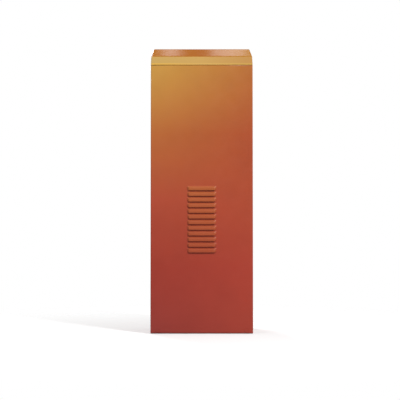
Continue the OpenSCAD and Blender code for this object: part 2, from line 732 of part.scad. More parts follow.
// The wire's centre line: bottom hook, bend, coils, bend, top hook.
spring_path = concat(
  [for (a = [120:24:360]) hook_point(spring_foot_z, a)],
  lead_point(spring_foot_z, 1),
  [for (i = [1:coils * wire_steps - 1]) coil_point(i / wire_steps)],
  [for (i = [2:-1:0]) lead_point(spring_pin_z, -1)[i]],
  [for (a = [0:24:240]) hook_point(spring_pin_z, a)]);

function tangent(path, i) =
  let (d = path[min(i + 1, len(path) - 1)] - path[max(i - 1, 0)]) d / norm(d);
function square_to(u, d) = let (w = u - (u * d) * d) w / norm(w);

// A round wire along a list of points, as one closed skin whose rings keep their turn.
module swept_wire(path, r, sides, start) {
  n = len(path);
  sides_u = [for (i = 0, u = square_to(start, tangent(path, 0)); i < n;
                  i = i + 1, u = i < n ? square_to(u, tangent(path, i)) : u) u];
  rings = [for (i = [0:n - 1]) let (u = sides_u[i], v = cross(tangent(path, i), u))
    each [for (k = [0:sides - 1]) path[i] + r * (cos(360 * k / sides) * u + sin(360 * k / sides) * v)]];
  polyhedron(rings, concat(
    [[for (k = [0:sides - 1]) k]],
    [for (i = [0:n - 2], k = [0:sides - 1])
      let (a = i * sides + k, b = i * sides + (k + 1) % sides) [a, a + sides, b + sides, b]],
    [[for (k = [sides - 1:-1:0]) (n - 1) * sides + k]]));
}

module balance_spring() color("#9b2f24") swept_wire(spring_path, wire_r, 6, [0, 1, 0]);

// The threaded rod that sets the spring's pull, with its eye pin and lock nuts.
module spring_adjuster() color("#8f9296") {
  eye_r = hook_r - wire_r - 1;
  rod_y(spring_x, spring_foot_z, spring_y - 9, spring_y + 9, eye_r - 1);
  for (s = [-1, 1])
    translate([spring_x - 9, spring_y + s * 10.5 - 2.5, spring_foot_z - 24]) cube([18, 5, 32]);
  slab(spring_x - 9, spring_x + 9, spring_y - 13, spring_y + 13, spring_foot_z - 30,
      spring_foot_z - 24 + EPS);
  translate([spring_x, spring_y, cylinder_z - 20])
      cylinder(r = rod_r, h = spring_foot_z - 28 - cylinder_z + 20);
  translate([spring_x, spring_y, cylinder_z]) hex_z(17, 8);
  translate([spring_x, spring_y, spring_foot_z - 40]) hex_z(17, 10 + EPS);
}

// ================================= the power pack ==========================================
module support_shelf() color("#b4b7ba") {
  slab(-pack_w / 2, pack_w / 2, pack_y0, plate_front_y, shelf_z, shelf_z + shelf_t);
  for (s = [-1, 1]) translate([s * (pack_w / 2 - 2.5) - 2.5, 0, 0]) rotate([90, 0, 90]) linear_extrude(5)
    polygon([[plate_front_y, shelf_z + EPS], [pack_y0 + 20, shelf_z + EPS], [plate_front_y, plate_bot_z]]);
}

module oil_tank() color("#9fa3a6") difference() {
  union() {
    linear_extrude_at(tank_z, tank_h)
        round_rect(-pack_w / 2 + 6, pack_y0 + 6, pack_w / 2 - 6, pack_y1 - 6, 12);
    linear_extrude_at(tank_z + tank_h - 8, 8) round_rect(-pack_w / 2, pack_y0, pack_w / 2, pack_y1, 12);
    for (x = [-60:30:60]) slab(x - 2, x + 2, pack_y0, pack_y0 + 8, tank_z + 8, tank_z + tank_h - 4);
  }
  linear_extrude_at(tank_z + 6, tank_h)
      round_rect(-pack_w / 2 + 12, pack_y0 + 12, pack_w / 2 - 12, pack_y1 - 12, 8);
}

module manifold_block() color("#c3c6c8") difference() {
  linear_extrude_at(block_z, block_h) round_rect(-pack_w / 2, pack_y0, pack_w / 2, pack_y1, 6);
  for (x = flow_xs) rod_y(x, screw_z, pack_y0 - 1, pack_y0 + 20, flow_r + RUN);
  rod_y(release_x, screw_z, pack_y1 - 22, pack_y1 + 1, release_r + RUN);
  translate([filler_x, filler_y, block_z - 1]) cylinder(r = 9 + RUN, h = block_h + 2);
  translate([spring_x, spring_y, cylinder_z - 20 - 1]) cylinder(r = rod_r + RUN, h = 25);
  translate([motor_x, motor_y, block_z - 1]) cylinder(r = rotor_r + 2, h = block_h + 2);
}

module flow_screw(x) difference() {
  union() {
    rod_y(x, screw_z, pack_y0 - 4, pack_y0 + 18, flow_r);
    rod_y(x, screw_z, pack_y0 - 9, pack_y0 - 4 + EPS, flow_r + 2);
  }
  slab(x - 6, x + 6, pack_y0 - 10, pack_y0 - 7, screw_z - 1, screw_z + 1);
}
module flow_screw_open() color("#2f5fb0") flow_screw(flow_xs[0]);
module flow_screw_close() color("#b8322b") flow_screw(flow_xs[1]);

module filler_plug() color("#222222") translate([filler_x, filler_y, 0]) {
  translate([0, 0, cylinder_z + FIT]) hex_z(24, 10);
  translate([0, 0, tank_z + 30]) cylinder(r = 2.5, h = cylinder_z - tank_z - 30 + EPS + FIT);
  translate([0, 0, cylinder_z - 14]) cylinder(r = 9, h = 14 + EPS + FIT);
}

module breather_valve() color("#c9a04e") translate([filler_x + 4, filler_y + 38, cylinder_z]) {
  hex_z(14, 7);
  cylinder(r = 5, h = 16);
}

module motor_body() color("#5f6a70") translate([motor_x, motor_y, motor_z]) difference() {
  union() {
    cylinder(r = motor_r + 3, h = motor_flange_h);
    difference() {
      cylinder(r = motor_r, h = motor_h + motor_cap_h);
      for (a = [0:15:345]) rotate(a + 7.5)
        slab(motor_r - 5, motor_r + 2, -5, 5, motor_flange_h + 3, motor_h - 8);
    }
    slab(-terminal_half, terminal_half, -motor_r - 9, -motor_r + 20, 45, 95);
  }
  translate([0, 0, -1]) cylinder(r = rotor_r + RUN, h = motor_h + motor_cap_h + 2);
}

module motor_rotor() color("#c8cacc") translate([motor_x, motor_y, 0])
  translate([0, 0, block_z + 8])
      cylinder(r = rotor_r, h = motor_z - block_z - 8 + motor_h + motor_cap_h + 22);

module cooling_fan() color("#2b2b2b") translate([motor_x, motor_y, motor_z + motor_h + motor_cap_h + 4])
    difference() {
  union() {
    cylinder(r = 15, h = 18);
    for (a = [0:45:315]) rotate(a) slab(0, motor_r - 9, -1.2, 1.2, 2, 16);
  }
  translate([0, 0, -1]) cylinder(r = rotor_r + RUN / 2, h = 20);
}

module fan_cowl() color("#4a5357") translate([motor_x, motor_y, motor_z + motor_h]) difference() {
  cylinder(r = motor_r + 2, h = cowl_h);
  translate([0, 0, -1]) cylinder(r = motor_r + RUN, h = cowl_h - 1);
  for (r = [14, 24, 34], a = [0:30:330]) rotate(a) translate([r, 0, 0]) cylinder(r = 3.2, h = cowl_h + 1);
}

// ================================= the release lock ========================================
module release_housing() color("#1f1f1f") difference() {
  union() {
    rod_y(release_x, screw_z, back_y, back_y + 7, 24);
    rod_y(release_x, screw_z, back_in_y - 6, back_y + EPS, release_r + 2.6);
    slab(release_x - 12, release_x + 12, back_y, back_y + 12, screw_z + 22.5, screw_z + 34);
  }
  rod_y(release_x, screw_z, back_in_y - 8, back_y + 10, release_r + RUN);
  slab(release_x - 8, release_x + 8, back_y + 5, back_y + 14, screw_z + 21, screw_z + 36);
  rod_x(flap_pin_y, flap_pin_z, release_x - 13, release_x + 13, 2 + RUN);
}

module release_spindle() color("#c8cacc") {
  rod_y(release_x, screw_z, pack_y1 - 20, back_y + 2, release_r);
  translate([release_x, back_y + 2 - EPS, screw_z]) along_y() rotate(90) cylinder(r = 6, h = 4, $fn = 3);
}

// The dust flap that hangs over the triangular key socket.
module release_flap() color("#2b2b2b") {
  rod_y(release_x, screw_z, flap_y, flap_y + 2.2, 21);
  slab(release_x - 7, release_x + 7, flap_y, flap_y + 2.2, screw_z + 15, flap_pin_z);
  rod_x(flap_pin_y, flap_pin_z, release_x - 12, release_x + 12, 2);
}

// ================================= the control box =========================================
module control_bracket() color("#b4b7ba") {
  slab(-box_w / 2 + 14, box_w / 2 - 14, box_back_y, box_back_y + bracket_t, box_bot_z + 10,
      box_bot_z + box_h + 16);
  slab(-box_w / 2 + 14, -52, box_back_y + EPS, bridge_front_y - EPS, box_bot_z + box_h + 14,
      box_bot_z + box_h + 16);
  slab(52, box_w / 2 - 14, box_back_y + EPS, bridge_front_y - EPS, box_bot_z + box_h + 14,
      box_bot_z + box_h + 16);
  for (s = [-1, 1]) slab(s > 0 ? 52 : -box_w / 2 + 14, s > 0 ? box_w / 2 - 14 : -52,
      bridge_front_y - bracket_t,
                         bridge_front_y, box_bot_z + box_h + 14, box_bot_z + box_h + 38);
}

module control_box() color("#8d949a") difference() {
  upright_plate(-box_w / 2, box_w / 2, box_bot_z, box_bot_z + box_h, box_front_y + cover_d, box_back_y, 10);
  upright_plate(-box_w / 2 + box_wall, box_w / 2 - box_wall, box_bot_z + box_wall,
      box_bot_z + box_h - box_wall,
                box_front_y + cover_d - 1, box_back_y - box_wall, 8);
  for (x = gland_xs) translate([x, box_back_y - 22, box_bot_z - 1]) cylinder(r = 6, h = 5);
}

// Cable glands screwed through the floor of the box; the two on the left are blanked off.
module cable_glands() color("#2b2b2b") for (x = gland_xs) translate([x, box_back_y - 22, box_bot_z])
    difference() {
  union() {
    translate([0, 0, -5]) hex_z(17, 5);
    translate([0, 0, -13]) cylinder(r = 7.5, h = 8 + EPS);
    translate([0, 0, -EPS]) cylinder(r = 6 - RUN, h = 9);
    translate([0, 0, box_wall]) hex_z(16, 4);
  }
  if (x > 0) translate([0, 0, -14]) cylinder(r = lead_r + FIT, h = 30);
}

module control_cover() color("#c9d4da", 0.5) {
  difference() {
    upright_plate(-box_w / 2, box_w / 2, box_bot_z, box_bot_z + box_h, box_front_y,
        box_front_y + cover_d, 10);
    upright_plate(-box_w / 2 + box_wall, box_w / 2 - box_wall, box_bot_z + box_wall,
        box_bot_z + box_h - box_wall,
                  box_front_y + box_wall, box_front_y + cover_d + 1, 8);
  }
  translate([0, box_front_y + EPS, box_mid_z]) corners_xz(box_w - 22, box_h - 22)
    rotate([90, 0, 0]) cylinder(r = 5, h = 1.6);
}

module circuit_board() color("#2e6b45") difference() {
  upright_plate(-box_w / 2 + 14, box_w / 2 - 14, box_bot_z + 14, box_bot_z + box_h - 14,
      box_back_y - 12, box_back_y - 10.4, 3);
  translate([0, box_back_y - 13, box_mid_z]) corners_xz(box_w - 44, box_h - 44) along_y()
      cylinder(r = 2, h = 5);
}

// Standoffs, transformer, relays, capacitors, a display and the terminal rows on the board.
module board_parts() color("#3f4a5a") {
  face_y = box_back_y - 12;
  translate([0, box_back_y - 10.4, box_mid_z]) corners_xz(box_w - 44, box_h - 44) along_y()
      cylinder(r = 4, h = 7.9);
  slab(-94, -46, face_y - 30, face_y, box_mid_z + 10, box_mid_z + 52);
  for (k = [0:2]) slab(-34 + 30 * k, -12 + 30 * k, face_y - 16, face_y, box_mid_z + 24, box_mid_z + 40);
  for (k = [0:1]) rod_y(72 + 20 * k - 6, box_mid_z + 36, face_y - 24, face_y, 8);
  for (k = [0:7]) slab(-92 + 22 * k, -72 + 22 * k, face_y - 13, face_y, box_bot_z + 22, box_bot_z + 34);
  slab(-20, 14, face_y - 9, face_y, box_mid_z - 14, box_mid_z + 4);
  for (k = [0:3]) slab(30 + 14 * k, 38 + 14 * k, face_y - 5, face_y, box_mid_z - 8, box_mid_z);
}

// ================================= inside wiring ===========================================
// The motor's lead and the two sensors' leads, from the glands to the pieces they feed.
lead_y = box_back_y - 22;
side_run_x = box_w / 2 + 8;
motor_lead_path = [
  [20, lead_y, box_bot_z + 4], [20, lead_y, box_bot_z - 14], [24, lead_y - 3, box_bot_z - 28],
  [48, lead_y - 14, box_bot_z - 44], [78, lead_y - 24, box_bot_z - 70], [92, lead_y - 32, motor_z + 150],
  [94, lead_y - 34, motor_z + 110], [84, lead_y - 32, motor_z + 82], [66, lead_y - 31, motor_z + 71],
  [motor_x + terminal_half + FIT, motor_y - motor_r - 2, motor_z + 70]];
function sensor_lead_path(k) = let (
    y = flag_ys[k] - flag_t / 2,
    end_z = sensor_top_z - sensor_len - FIT,
    top_z = box_bot_z + box_h + 6,
    x = side_run_x, gland_x = gland_xs[3 + k]) [
  [gland_x, lead_y, box_bot_z + 4], [gland_x, lead_y, box_bot_z - 14],
      [gland_x + 5, lead_y - k * 2, box_bot_z - 24],
  [gland_x + 16 - 5 * k, y, box_bot_z - 27], [x - 4, y, box_bot_z - 20], [x, y, box_bot_z],
  [x, y, box_mid_z], [x, y, top_z - 14], [x - 6, y, top_z - 1], [x - 30, y, top_z], [36, y, top_z],
  [10, y, top_z + 1], [2, y, top_z + 4], [0, y, end_z]];

// A smooth curve through the points, three steps between neighbours.
function smooth_at(p, i, t) =
  let (n = len(p), a = p[max(i - 1, 0)], b = p[i], c = p[min(i + 1, n - 1)], d = p[min(i + 2, n - 1)])
  0.5 * (2 * b + (c - a) * t + (2 * a - 5 * b + 4 * c - d) * t * t + (3 * b - a - 3 * c + d) * t * t * t);
function smooth(p) = [for (i = [0:len(p) - 2], k = [0:2]) smooth_at(p, i, k / 3), p[len(p) - 1]];

module cable_leads() color("#1d1d1d") {
  swept_wire(smooth(motor_lead_path), lead_r, 6, [0, 1, 0]);
  for (k = [0:1]) swept_wire(smooth(sensor_lead_path(k)), lead_r, 6, [0, 1, 0]);
}

// ================================= the boom flange =========================================
module boom_flange() color("#9fa3a6") difference() {
  union() {
    upright_plate(-flange_w / 2, flange_w / 2, shaft_z - flange_w / 2, shaft_z + flange_w / 2, flange_y,
                  flange_y + flange_t, 8);
    rod_y(0, shaft_z, plate_back_y + 4, flange_y + EPS, shaft_r + 10);
  }
  rod_y(0, shaft_z, plate_back_y - 1, flange_y + flange_t + 1, shaft_r + RUN);
  slab(-key_w / 2 - RUN, key_w / 2 + RUN, flange_y - EPS, flange_y + flange_t + 1, shaft_z + shaft_r - 2,
       shaft_z + shaft_r + key_h / 2 + RUN);
  rod_y(0, shaft_z, nut_seat_y, flange_y + flange_t + 1, washer_r + 0.5);
  translate([0, flange_y - 1, shaft_z]) corners_xz(flange_pitch, flange_pitch) along_y()
    cylinder(r = flange_hole_r, h = flange_t + 2);
}

module flange_nut() color("#8f9296") translate([0, nut_seat_y, shaft_z]) along_y() difference() {
  union() {
    cylinder(r = washer_r, h = 3);
    hex_z(30, 16);
  }
  translate([0, 0, -1]) cylinder(r = 10 + RUN, h = 20);
}

// =================================== what is drawn =========================================
cabinet_shell();
base_plate();
frame_plate();
frame_bolts();
door_panel();
door_seal();
door_screws();
lid_cover();
lid_seal();
lid_lock_body();
lid_lock_plug();
lid_lock_cam();
lock_keeper();
bearing_bridge();
bearing_front();
bearing_rear();
bearing_bolts();
drive_shaft();
rocker_arm();
roller_pins();
roller_open();
roller_close();
shaft_keys();
stop_lever();
stop_bolts();
stop_buffers();
limit_flags();
sensor_bracket();
limit_sensors();
cylinder_open();
cylinder_close();
cylinder_glands();
cylinder_clamp();
plunger_open();
plunger_close();
balance_spring();
spring_adjuster();
support_shelf();
oil_tank();
manifold_block();
flow_screw_open();
flow_screw_close();
filler_plug();
breather_valve();
motor_body();
motor_rotor();
cooling_fan();
fan_cowl();
release_housing();
release_spindle();
release_flap();
control_bracket();
control_box();
control_cover();
circuit_board();
board_parts();
cable_glands();
cable_leads();
boom_flange();
flange_nut();
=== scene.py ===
import json
from math import cos, pi, radians, sin

import bmesh
import bpy
from mathutils import Matrix, Vector


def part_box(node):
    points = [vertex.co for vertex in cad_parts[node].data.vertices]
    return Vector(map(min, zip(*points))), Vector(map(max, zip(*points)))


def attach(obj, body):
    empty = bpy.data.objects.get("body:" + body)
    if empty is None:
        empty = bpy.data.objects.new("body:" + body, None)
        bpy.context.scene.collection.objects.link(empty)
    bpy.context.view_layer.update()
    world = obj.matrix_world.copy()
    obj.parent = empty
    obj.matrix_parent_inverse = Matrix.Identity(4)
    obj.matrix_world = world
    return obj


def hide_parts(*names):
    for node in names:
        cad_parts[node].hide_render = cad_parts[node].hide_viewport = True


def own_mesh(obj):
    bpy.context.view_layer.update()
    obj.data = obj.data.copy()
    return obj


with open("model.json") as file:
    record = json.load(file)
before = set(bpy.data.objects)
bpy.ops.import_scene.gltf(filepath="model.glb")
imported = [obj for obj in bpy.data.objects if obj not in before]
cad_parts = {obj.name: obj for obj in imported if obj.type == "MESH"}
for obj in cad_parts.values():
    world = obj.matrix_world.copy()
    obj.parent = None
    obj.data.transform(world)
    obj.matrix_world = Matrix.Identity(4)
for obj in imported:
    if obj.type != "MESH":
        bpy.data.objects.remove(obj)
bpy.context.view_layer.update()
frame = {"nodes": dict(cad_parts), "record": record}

NODE_BODY = {node: body for body, nodes in frame["record"]["behaviour"]["bodies"].items() for node in nodes}
HALF_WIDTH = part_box("cabinet_shell")[1][0]
MM = 1000.0                           # millimetres in a metre, to scale patterns by their real size
PATTERN_LOW, PATTERN_HIGH = 0.3, 0.7  # nearly all of a noise pattern's values lie between these

# ---------------------------------------------------------------------------------------------
# Base plate
# Hot-dip galvanised steel, laser cut, welded into the foot of the upright. The four slots take
# the foundation studs, and the large opening lets the cables up.


def srgb(code):
    """A colour written as six hex digits, as linear red, green, blue and alpha."""
    parts = [int(code[i:i + 2], 16) / 255 for i in (1, 3, 5)]
    return tuple(p / 12.92 if p <= 0.04045 else ((p + 0.055) / 1.055) ** 2.4 for p in parts) + (1.0,)


def add(tree, kind, inputs=None, **settings):
    """A node with its settings; each input is a value, or another node's output to link."""
    made = tree.nodes.new(kind)
    for key, value in settings.items():
        setattr(made, key, value)
    for key, value in (inputs or {}).items():
        if isinstance(value, bpy.types.NodeSocket):
            tree.links.new(value, made.inputs[key])
        else:
            made.inputs[key].default_value = value
    return made


def finish(name, metallic=0.0, roughness=0.5, colour="#808080", coat=0.0, ior=1.5):
    """A bare finish: its material, node tree, shader and the place on the piece, in metres."""
    made = bpy.data.materials.new(name)
    made.use_nodes = True
    tree = made.node_tree
    shader = tree.nodes["Principled BSDF"]
    shader.inputs["Base Color"].default_value = srgb(colour)
    shader.inputs["Metallic"].default_value = metallic
    shader.inputs["Roughness"].default_value = roughness
    shader.inputs["Coat Weight"].default_value = coat
    shader.inputs["IOR"].default_value = ior
    place = tree.nodes.new("ShaderNodeTexCoord").outputs["Object"]
    return made, tree, shader, place


def stops(ramp, points):
    """Sets a colour ramp's stops from (position, hex colour) pairs."""
    table = ramp.color_ramp.elements
    while len(table) < len(points):
        table.new(0.5)
    for element, (position, code) in zip(table, points):
        element.position = position
        element.color = srgb(code)
    return ramp.outputs["Color"]


def two_tone(tree, shader, pattern, dark, light, start=0.3, end=0.7):
    """A base colour that goes from dark to light as a pattern rises from start to end."""
    ramp = add(tree, "ShaderNodeValToRGB", {"Fac": pattern})
    tree.links.new(stops(ramp, [(start, dark), (end, light)]), shader.inputs["Base Color"])


def skin(tree, shader, gloss, low, high, height, depth_mm, strength=0.5):
    """Roughness from low to high as one pattern varies, and another's relief, depth_mm deep."""
    ranged = add(tree, "ShaderNodeMapRange", {"Value": gloss, "To Min": low, "To Max": high,
                                              "From Min": PATTERN_LOW, "From Max": PATTERN_HIGH})
    tree.links.new(ranged.outputs["Result"], shader.inputs["Roughness"])
    bump = add(tree, "ShaderNodeBump", {"Height": height, "Strength": strength, "Distance": depth_mm / MM})
    tree.links.new(bump.outputs["Normal"], shader.inputs["Normal"])


def galvanised(name, dark, light, spangle_mm):
    """Hot-dip zinc on steel: crystals of slightly different greys, and soft gloss."""
    made, tree, shader, place = finish(name, metallic=1.0)
    cells = add(tree, "ShaderNodeTexVoronoi", {"Vector": place, "Scale": MM / spangle_mm})
    tone = add(tree, "ShaderNodeSeparateColor", {"Color": cells.outputs["Color"]}).outputs["Red"]
    two_tone(tree, shader, tone, dark, light, 0.0, 1.0)
    cloud = add(tree, "ShaderNodeTexNoise", {"Vector": place, "Scale": MM / 18.0, "Detail": 3.0})
    grit = add(tree, "ShaderNodeTexNoise", {"Vector": place, "Scale": MM / 1.6, "Detail": 3.0})
    skin(tree, shader, cloud.outputs["Fac"], 0.32, 0.52, grit.outputs["Fac"], 0.05)
    return made


hot_dip_zinc = galvanised("hot-dip galvanised steel", "#8A8D8E", "#B4B7B8", 9.0)


def place_piece(name, mesh_or_bm, material, body, stands_for=()):
    """Makes a finished mesh an object of the upright, riding on a body."""
    mesh = mesh_or_bm
    if isinstance(mesh_or_bm, bmesh.types.BMesh):
        mesh = bpy.data.meshes.new(name)
        mesh_or_bm.to_mesh(mesh)
        mesh_or_bm.free()
    mesh.materials.clear()
    mesh.materials.append(material)
    piece = bpy.data.objects.new(name, mesh)
    bpy.context.scene.collection.objects.link(piece)
    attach(piece, body)
    if stands_for:
        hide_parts(*stands_for)
    return piece


def keep_flat(piece):
    """Shades the broad faces flat and only the small rounded ones between them smooth."""
    crisp = piece.modifiers.new("flat panels", "WEIGHTED_NORMAL")
    crisp.keep_sharp = False
    crisp.weight = 100


def eased(node, material, edge_mm=0.5, segments=2, smooth_deg=35):
    """A CAD piece with its sharp edges broken, as deburring, casting or moulding leaves them."""
    bm = bmesh.new()
    bm.from_mesh(frame["nodes"][node].data)
    bmesh.ops.remove_doubles(bm, verts=bm.verts, dist=2e-6)
    bmesh.ops.dissolve_limit(bm, angle_limit=radians(1.0), verts=bm.verts, edges=bm.edges)
    piece = place_piece(node + "_eased", bm, material, NODE_BODY[node], [node])
    for face in piece.data.polygons:
        face.use_smooth = True
    ease = piece.modifiers.new("eased edges", "BEVEL")
    ease.width = edge_mm / 1000.0
    ease.segments = segments
    ease.limit_method = "ANGLE"
    ease.angle_limit = radians(smooth_deg)
    ease.use_clamp_overlap = True
    keep_flat(piece)
    return piece


eased("base_plate", hot_dip_zinc, 0.6)

# ---------------------------------------------------------------------------------------------
# Upright
# One sheet of 2.5 mm steel folded round the back, sides and front lips, then coated in orange polyester
# powder. Light and shade are painted into its colour: lighter and golden towards the top and upper left,
# darker deep red towards the foot.

MIX_A, MIX_B, MIX_OUT = 6, 7, 2  # the colour sockets of a Mix node
# the coat's colour up the piece, at its left and right, with painted light and shade: lighter gold at the
# top, darker red at the foot
COAT_HEIGHTS = (0.0, 0.25, 0.5, 0.75, 1.0)
COAT_AND_LIGHT_LEFT = ("#8C3028", "#9A3628", "#AC4830", "#B26430", "#C29040")
COAT_AND_LIGHT_RIGHT = ("#9C3828", "#A63C2C", "#A8462C", "#A64A28", "#AC642C")


def across_piece(tree, place, up, columns):
    """Fades up the piece, set side by side across it, each blended into the next."""
    x = add(tree, "ShaderNodeSeparateXYZ", {"Vector": place}).outputs["X"]
    fades = [stops(add(tree, "ShaderNodeValToRGB", {"Fac": up}), points) for points in columns]
    blended, step = fades[0], 2 * HALF_WIDTH / (len(fades) - 1)
    for i, fade in enumerate(fades[1:]):
        start = i * step - HALF_WIDTH
        share = add(tree, "ShaderNodeMapRange", {"Value": x, "From Min": start, "From Max": start + step})
        blended = add(tree, "ShaderNodeMix", {0: share.outputs["Result"], MIX_A: blended, MIX_B: fade},
                      data_type="RGBA").outputs[MIX_OUT]
    return blended


def coat_skin(tree, shader, place, low, high):
    """Powder coat's soft gloss over its orange peel."""
    cloud = add(tree, "ShaderNodeTexNoise", {"Vector": place, "Scale": MM / 35.0, "Detail": 3.0})
    # orange peel is about 2 mm across; drawn at 3 mm so that it shows
    peel = add(tree, "ShaderNodeTexNoise", {"Vector": place, "Scale": MM / 3.0, "Detail": 2.0})
    skin(tree, shader, cloud.outputs["Fac"], low, high, peel.outputs["Fac"], 0.06, 0.3)


def powder_coat_and_light(name):
    """Polyester powder coat with painted light and shade: darker red at the foot, orange above, and lighter
    gold towards the upper left.
    """
    made, tree, shader, place = finish(name)
    shader.inputs["Specular IOR Level"].default_value = 0.32
    up = add(tree, "ShaderNodeSeparateXYZ", {"Vector": place}).outputs["Z"]
    columns = [list(zip(COAT_HEIGHTS, codes)) for codes in (COAT_AND_LIGHT_LEFT, COAT_AND_LIGHT_RIGHT)]
    # painted light and shade: lighter and golden towards the top and upper left, darker red towards the foot
    fade = across_piece(tree, place, up, columns)
    # slow unevenness in the coat's colour, as thick and thin passes of the gun leave
    passes = add(tree, "ShaderNodeTexNoise", {"Vector": place, "Scale": MM / 90.0, "Detail": 2.0})
    share = add(tree, "ShaderNodeMapRange", {"Value": passes.outputs["Fac"], "From Min": PATTERN_LOW,
                                             "From Max": PATTERN_HIGH, "To Min": 0.97, "To Max": 1.03})
    uneven = add(tree, "ShaderNodeVectorMath", {0: fade, "Scale": share.outputs["Result"]}, operation="SCALE")
    tree.links.new(uneven.outputs["Vector"], shader.inputs["Base Color"])
    coat_skin(tree, shader, place, 0.30, 0.42)
    return made


orange_coat_and_light = powder_coat_and_light("polyester powder coat, orange")
eased("cabinet_shell", orange_coat_and_light, 0.6, 2)

# ---------------------------------------------------------------------------------------------
# Frame plate, bridge and brackets
# Sheet and plate steel, cut and folded, then zinc plated and passivated blue-white. The plating is
# thin, so the rolling lines of the sheet show through it, with cloudy patches of brighter zinc.


def metal(name, dark, light, low, high, mark_mm, stretch=(1.0, 1.0, 1.0), depth_mm=0.02):
    """Bare or plated metal; stretch draws out the marks that its making left, along one way."""
    made, tree, shader, place = finish(name, metallic=1.0)
    drawn = add(tree, "ShaderNodeMapping", {"Vector": place, "Scale": stretch}).outputs["Vector"]
    marks = add(tree, "ShaderNodeTexNoise", {"Vector": drawn, "Scale": MM / mark_mm, "Detail": 4.0})
    cloud = add(tree, "ShaderNodeTexNoise", {"Vector": place, "Scale": MM / 30.0, "Detail": 2.0})
    two_tone(tree, shader, cloud.outputs["Fac"], dark, light, 0.35, 0.65)
    skin(tree, shader, marks.outputs["Fac"], low, high, marks.outputs["Fac"], depth_mm)
    return made


plated_sheet = metal("blue-white passivated zinc plate", "#AEB5BB", "#C3C9CD", 0.26, 0.4, 1.4,
                     stretch=(1.0, 1.0, 0.08))
for node in ("frame_plate", "bearing_bridge", "support_shelf", "control_bracket", "sensor_bracket"):
    eased(node, plated_sheet, 0.4)

# ---------------------------------------------------------------------------------------------
# Screws and bolts
# Cold-headed steel, zinc plated to a bright finish. The heads are smooth, with soft edges, and
# pick up sharper highlights than the sheet beneath them.

bright_zinc = metal("bright zinc plated screw steel", "#A9ADB0", "#D2D5D6", 0.18, 0.3, 2.5)
for node in ("frame_bolts", "bearing_bolts", "stop_bolts"):
    eased(node, bright_zinc, 0.3)

# ---------------------------------------------------------------------------------------------
# Flanged bearings
# Grey iron, sand cast and primed in dark grey, which leaves a pebbled skin that hardly shines.


def painted(name, dark, light, low, high, texture_mm, depth_mm, patch_mm=25.0, coat=0.0):
    """Paint on metal: an even colour with slow patches, over the texture of what it covers."""
    made, tree, shader, place = finish(name, coat=coat)
    cloud = add(tree, "ShaderNodeTexNoise", {"Vector": place, "Scale": MM / patch_mm, "Detail": 3.0})
    texture = add(tree, "ShaderNodeTexNoise", {"Vector": place, "Scale": MM / texture_mm, "Detail": 2.0})
    two_tone(tree, shader, cloud.outputs["Fac"], dark, light)
    skin(tree, shader, cloud.outputs["Fac"], low, high, texture.outputs["Fac"], depth_mm)
    return made


cast_iron = painted("sand-cast iron, primed grey", "#45484B", "#55595C", 0.5, 0.68, 1.6, 0.22)
for node in ("bearing_front", "bearing_rear"):
    eased(node, cast_iron, 1.2, 3)

# ---------------------------------------------------------------------------------------------
# Boom shaft, keys and pins
# Carbon steel bar, turned and then ground to size, which leaves very fine lines round it. The
# keys are drawn bar with a straw-coloured passivated zinc skin.

ground_round_y = metal("ground steel bar, lying", "#9A9DA0", "#B7BABC", 0.16, 0.3, 0.9,
                       (0.06, 1.0, 0.06), 0.01)
ground_round_z = metal("ground steel bar, upright", "#9A9DA0", "#B7BABC", 0.16, 0.3, 0.9,
                       (0.06, 0.06, 1.0), 0.01)
straw_zinc = metal("yellow passivated key steel", "#B08B3E", "#D0B263", 0.25, 0.4, 1.5, (1.0, 0.06, 1.0))
eased("drive_shaft", ground_round_y, 0.6)
eased("roller_pins", ground_round_y, 0.4)
eased("shaft_keys", straw_zinc, 0.3)

# ---------------------------------------------------------------------------------------------
# Rocker and stop lever
# Flame-cut steel plate and hub, welded, then phosphated and oiled. The finish is a soft, slightly
# blotched charcoal grey.

phosphated = metal("manganese phosphated steel, oiled", "#3E4246", "#5C6166", 0.38, 0.6, 3.0, depth_mm=0.06)
for node in ("rocker_arm", "stop_lever"):
    eased(node, phosphated, 0.7)

# ---------------------------------------------------------------------------------------------
# Rollers and plungers
# Bearing steel and hard-chromed bar, ground and polished, so they are nearly mirrors, with only
# faint lines where the rollers run on the plungers' heads.

hard_chrome_y = metal("hard chrome on steel, rollers", "#C4C8CB", "#DDE0E2", 0.06, 0.14, 0.8,
                      (0.05, 1.0, 0.05), 0.004)
hard_chrome_z = metal("hard chrome on steel, plungers", "#C4C8CB", "#DDE0E2", 0.06, 0.14, 0.8,
                      (0.05, 0.05, 1.0), 0.004)
for node in ("roller_open", "roller_close"):
    eased(node, hard_chrome_y, 0.5)
for node in ("plunger_open", "plunger_close"):
    eased(node, hard_chrome_z, 0.6)

# ---------------------------------------------------------------------------------------------
# Rubber buffers and sponge seals
# The buffers are moulded nitrile rubber, dense and satin. The seals are extruded sponge, whose
# skin shows the cells beneath it as fine dimples.


def moulded(name, dark, light, low, high, texture_mm=0.8, depth_mm=0.03, ior=1.5):
    """Moulded plastic or rubber, with the fine texture that its mould or its cells give it."""
    made, tree, shader, place = finish(name, ior=ior)
    cloud = add(tree, "ShaderNodeTexNoise", {"Vector": place, "Scale": MM / 14.0, "Detail": 2.0})
    texture = add(tree, "ShaderNodeTexNoise", {"Vector": place, "Scale": MM / texture_mm, "Detail": 3.0})
    two_tone(tree, shader, cloud.outputs["Fac"], dark, light)
    skin(tree, shader, texture.outputs["Fac"], low, high, texture.outputs["Fac"], depth_mm)
    return made


nitrile = moulded("moulded nitrile rubber", "#1B1B1C", "#242425", 0.45, 0.62, 1.2, 0.05, 1.52)
sponge = moulded("extruded sponge rubber", "#161616", "#202020", 0.75, 0.92, 1.0, 0.18, 1.48)
eased("stop_buffers", nitrile, 0.8, 3)
for node in ("door_seal", "lid_seal"):
    eased(node, sponge, 0.4, 3, 50)

# ---------------------------------------------------------------------------------------------
# Limit flags and sensors
# The flags are laser-cut steel discs on the shaft, blackened. The sensors are threaded barrels
# of nickel-plated brass, with locknuts.

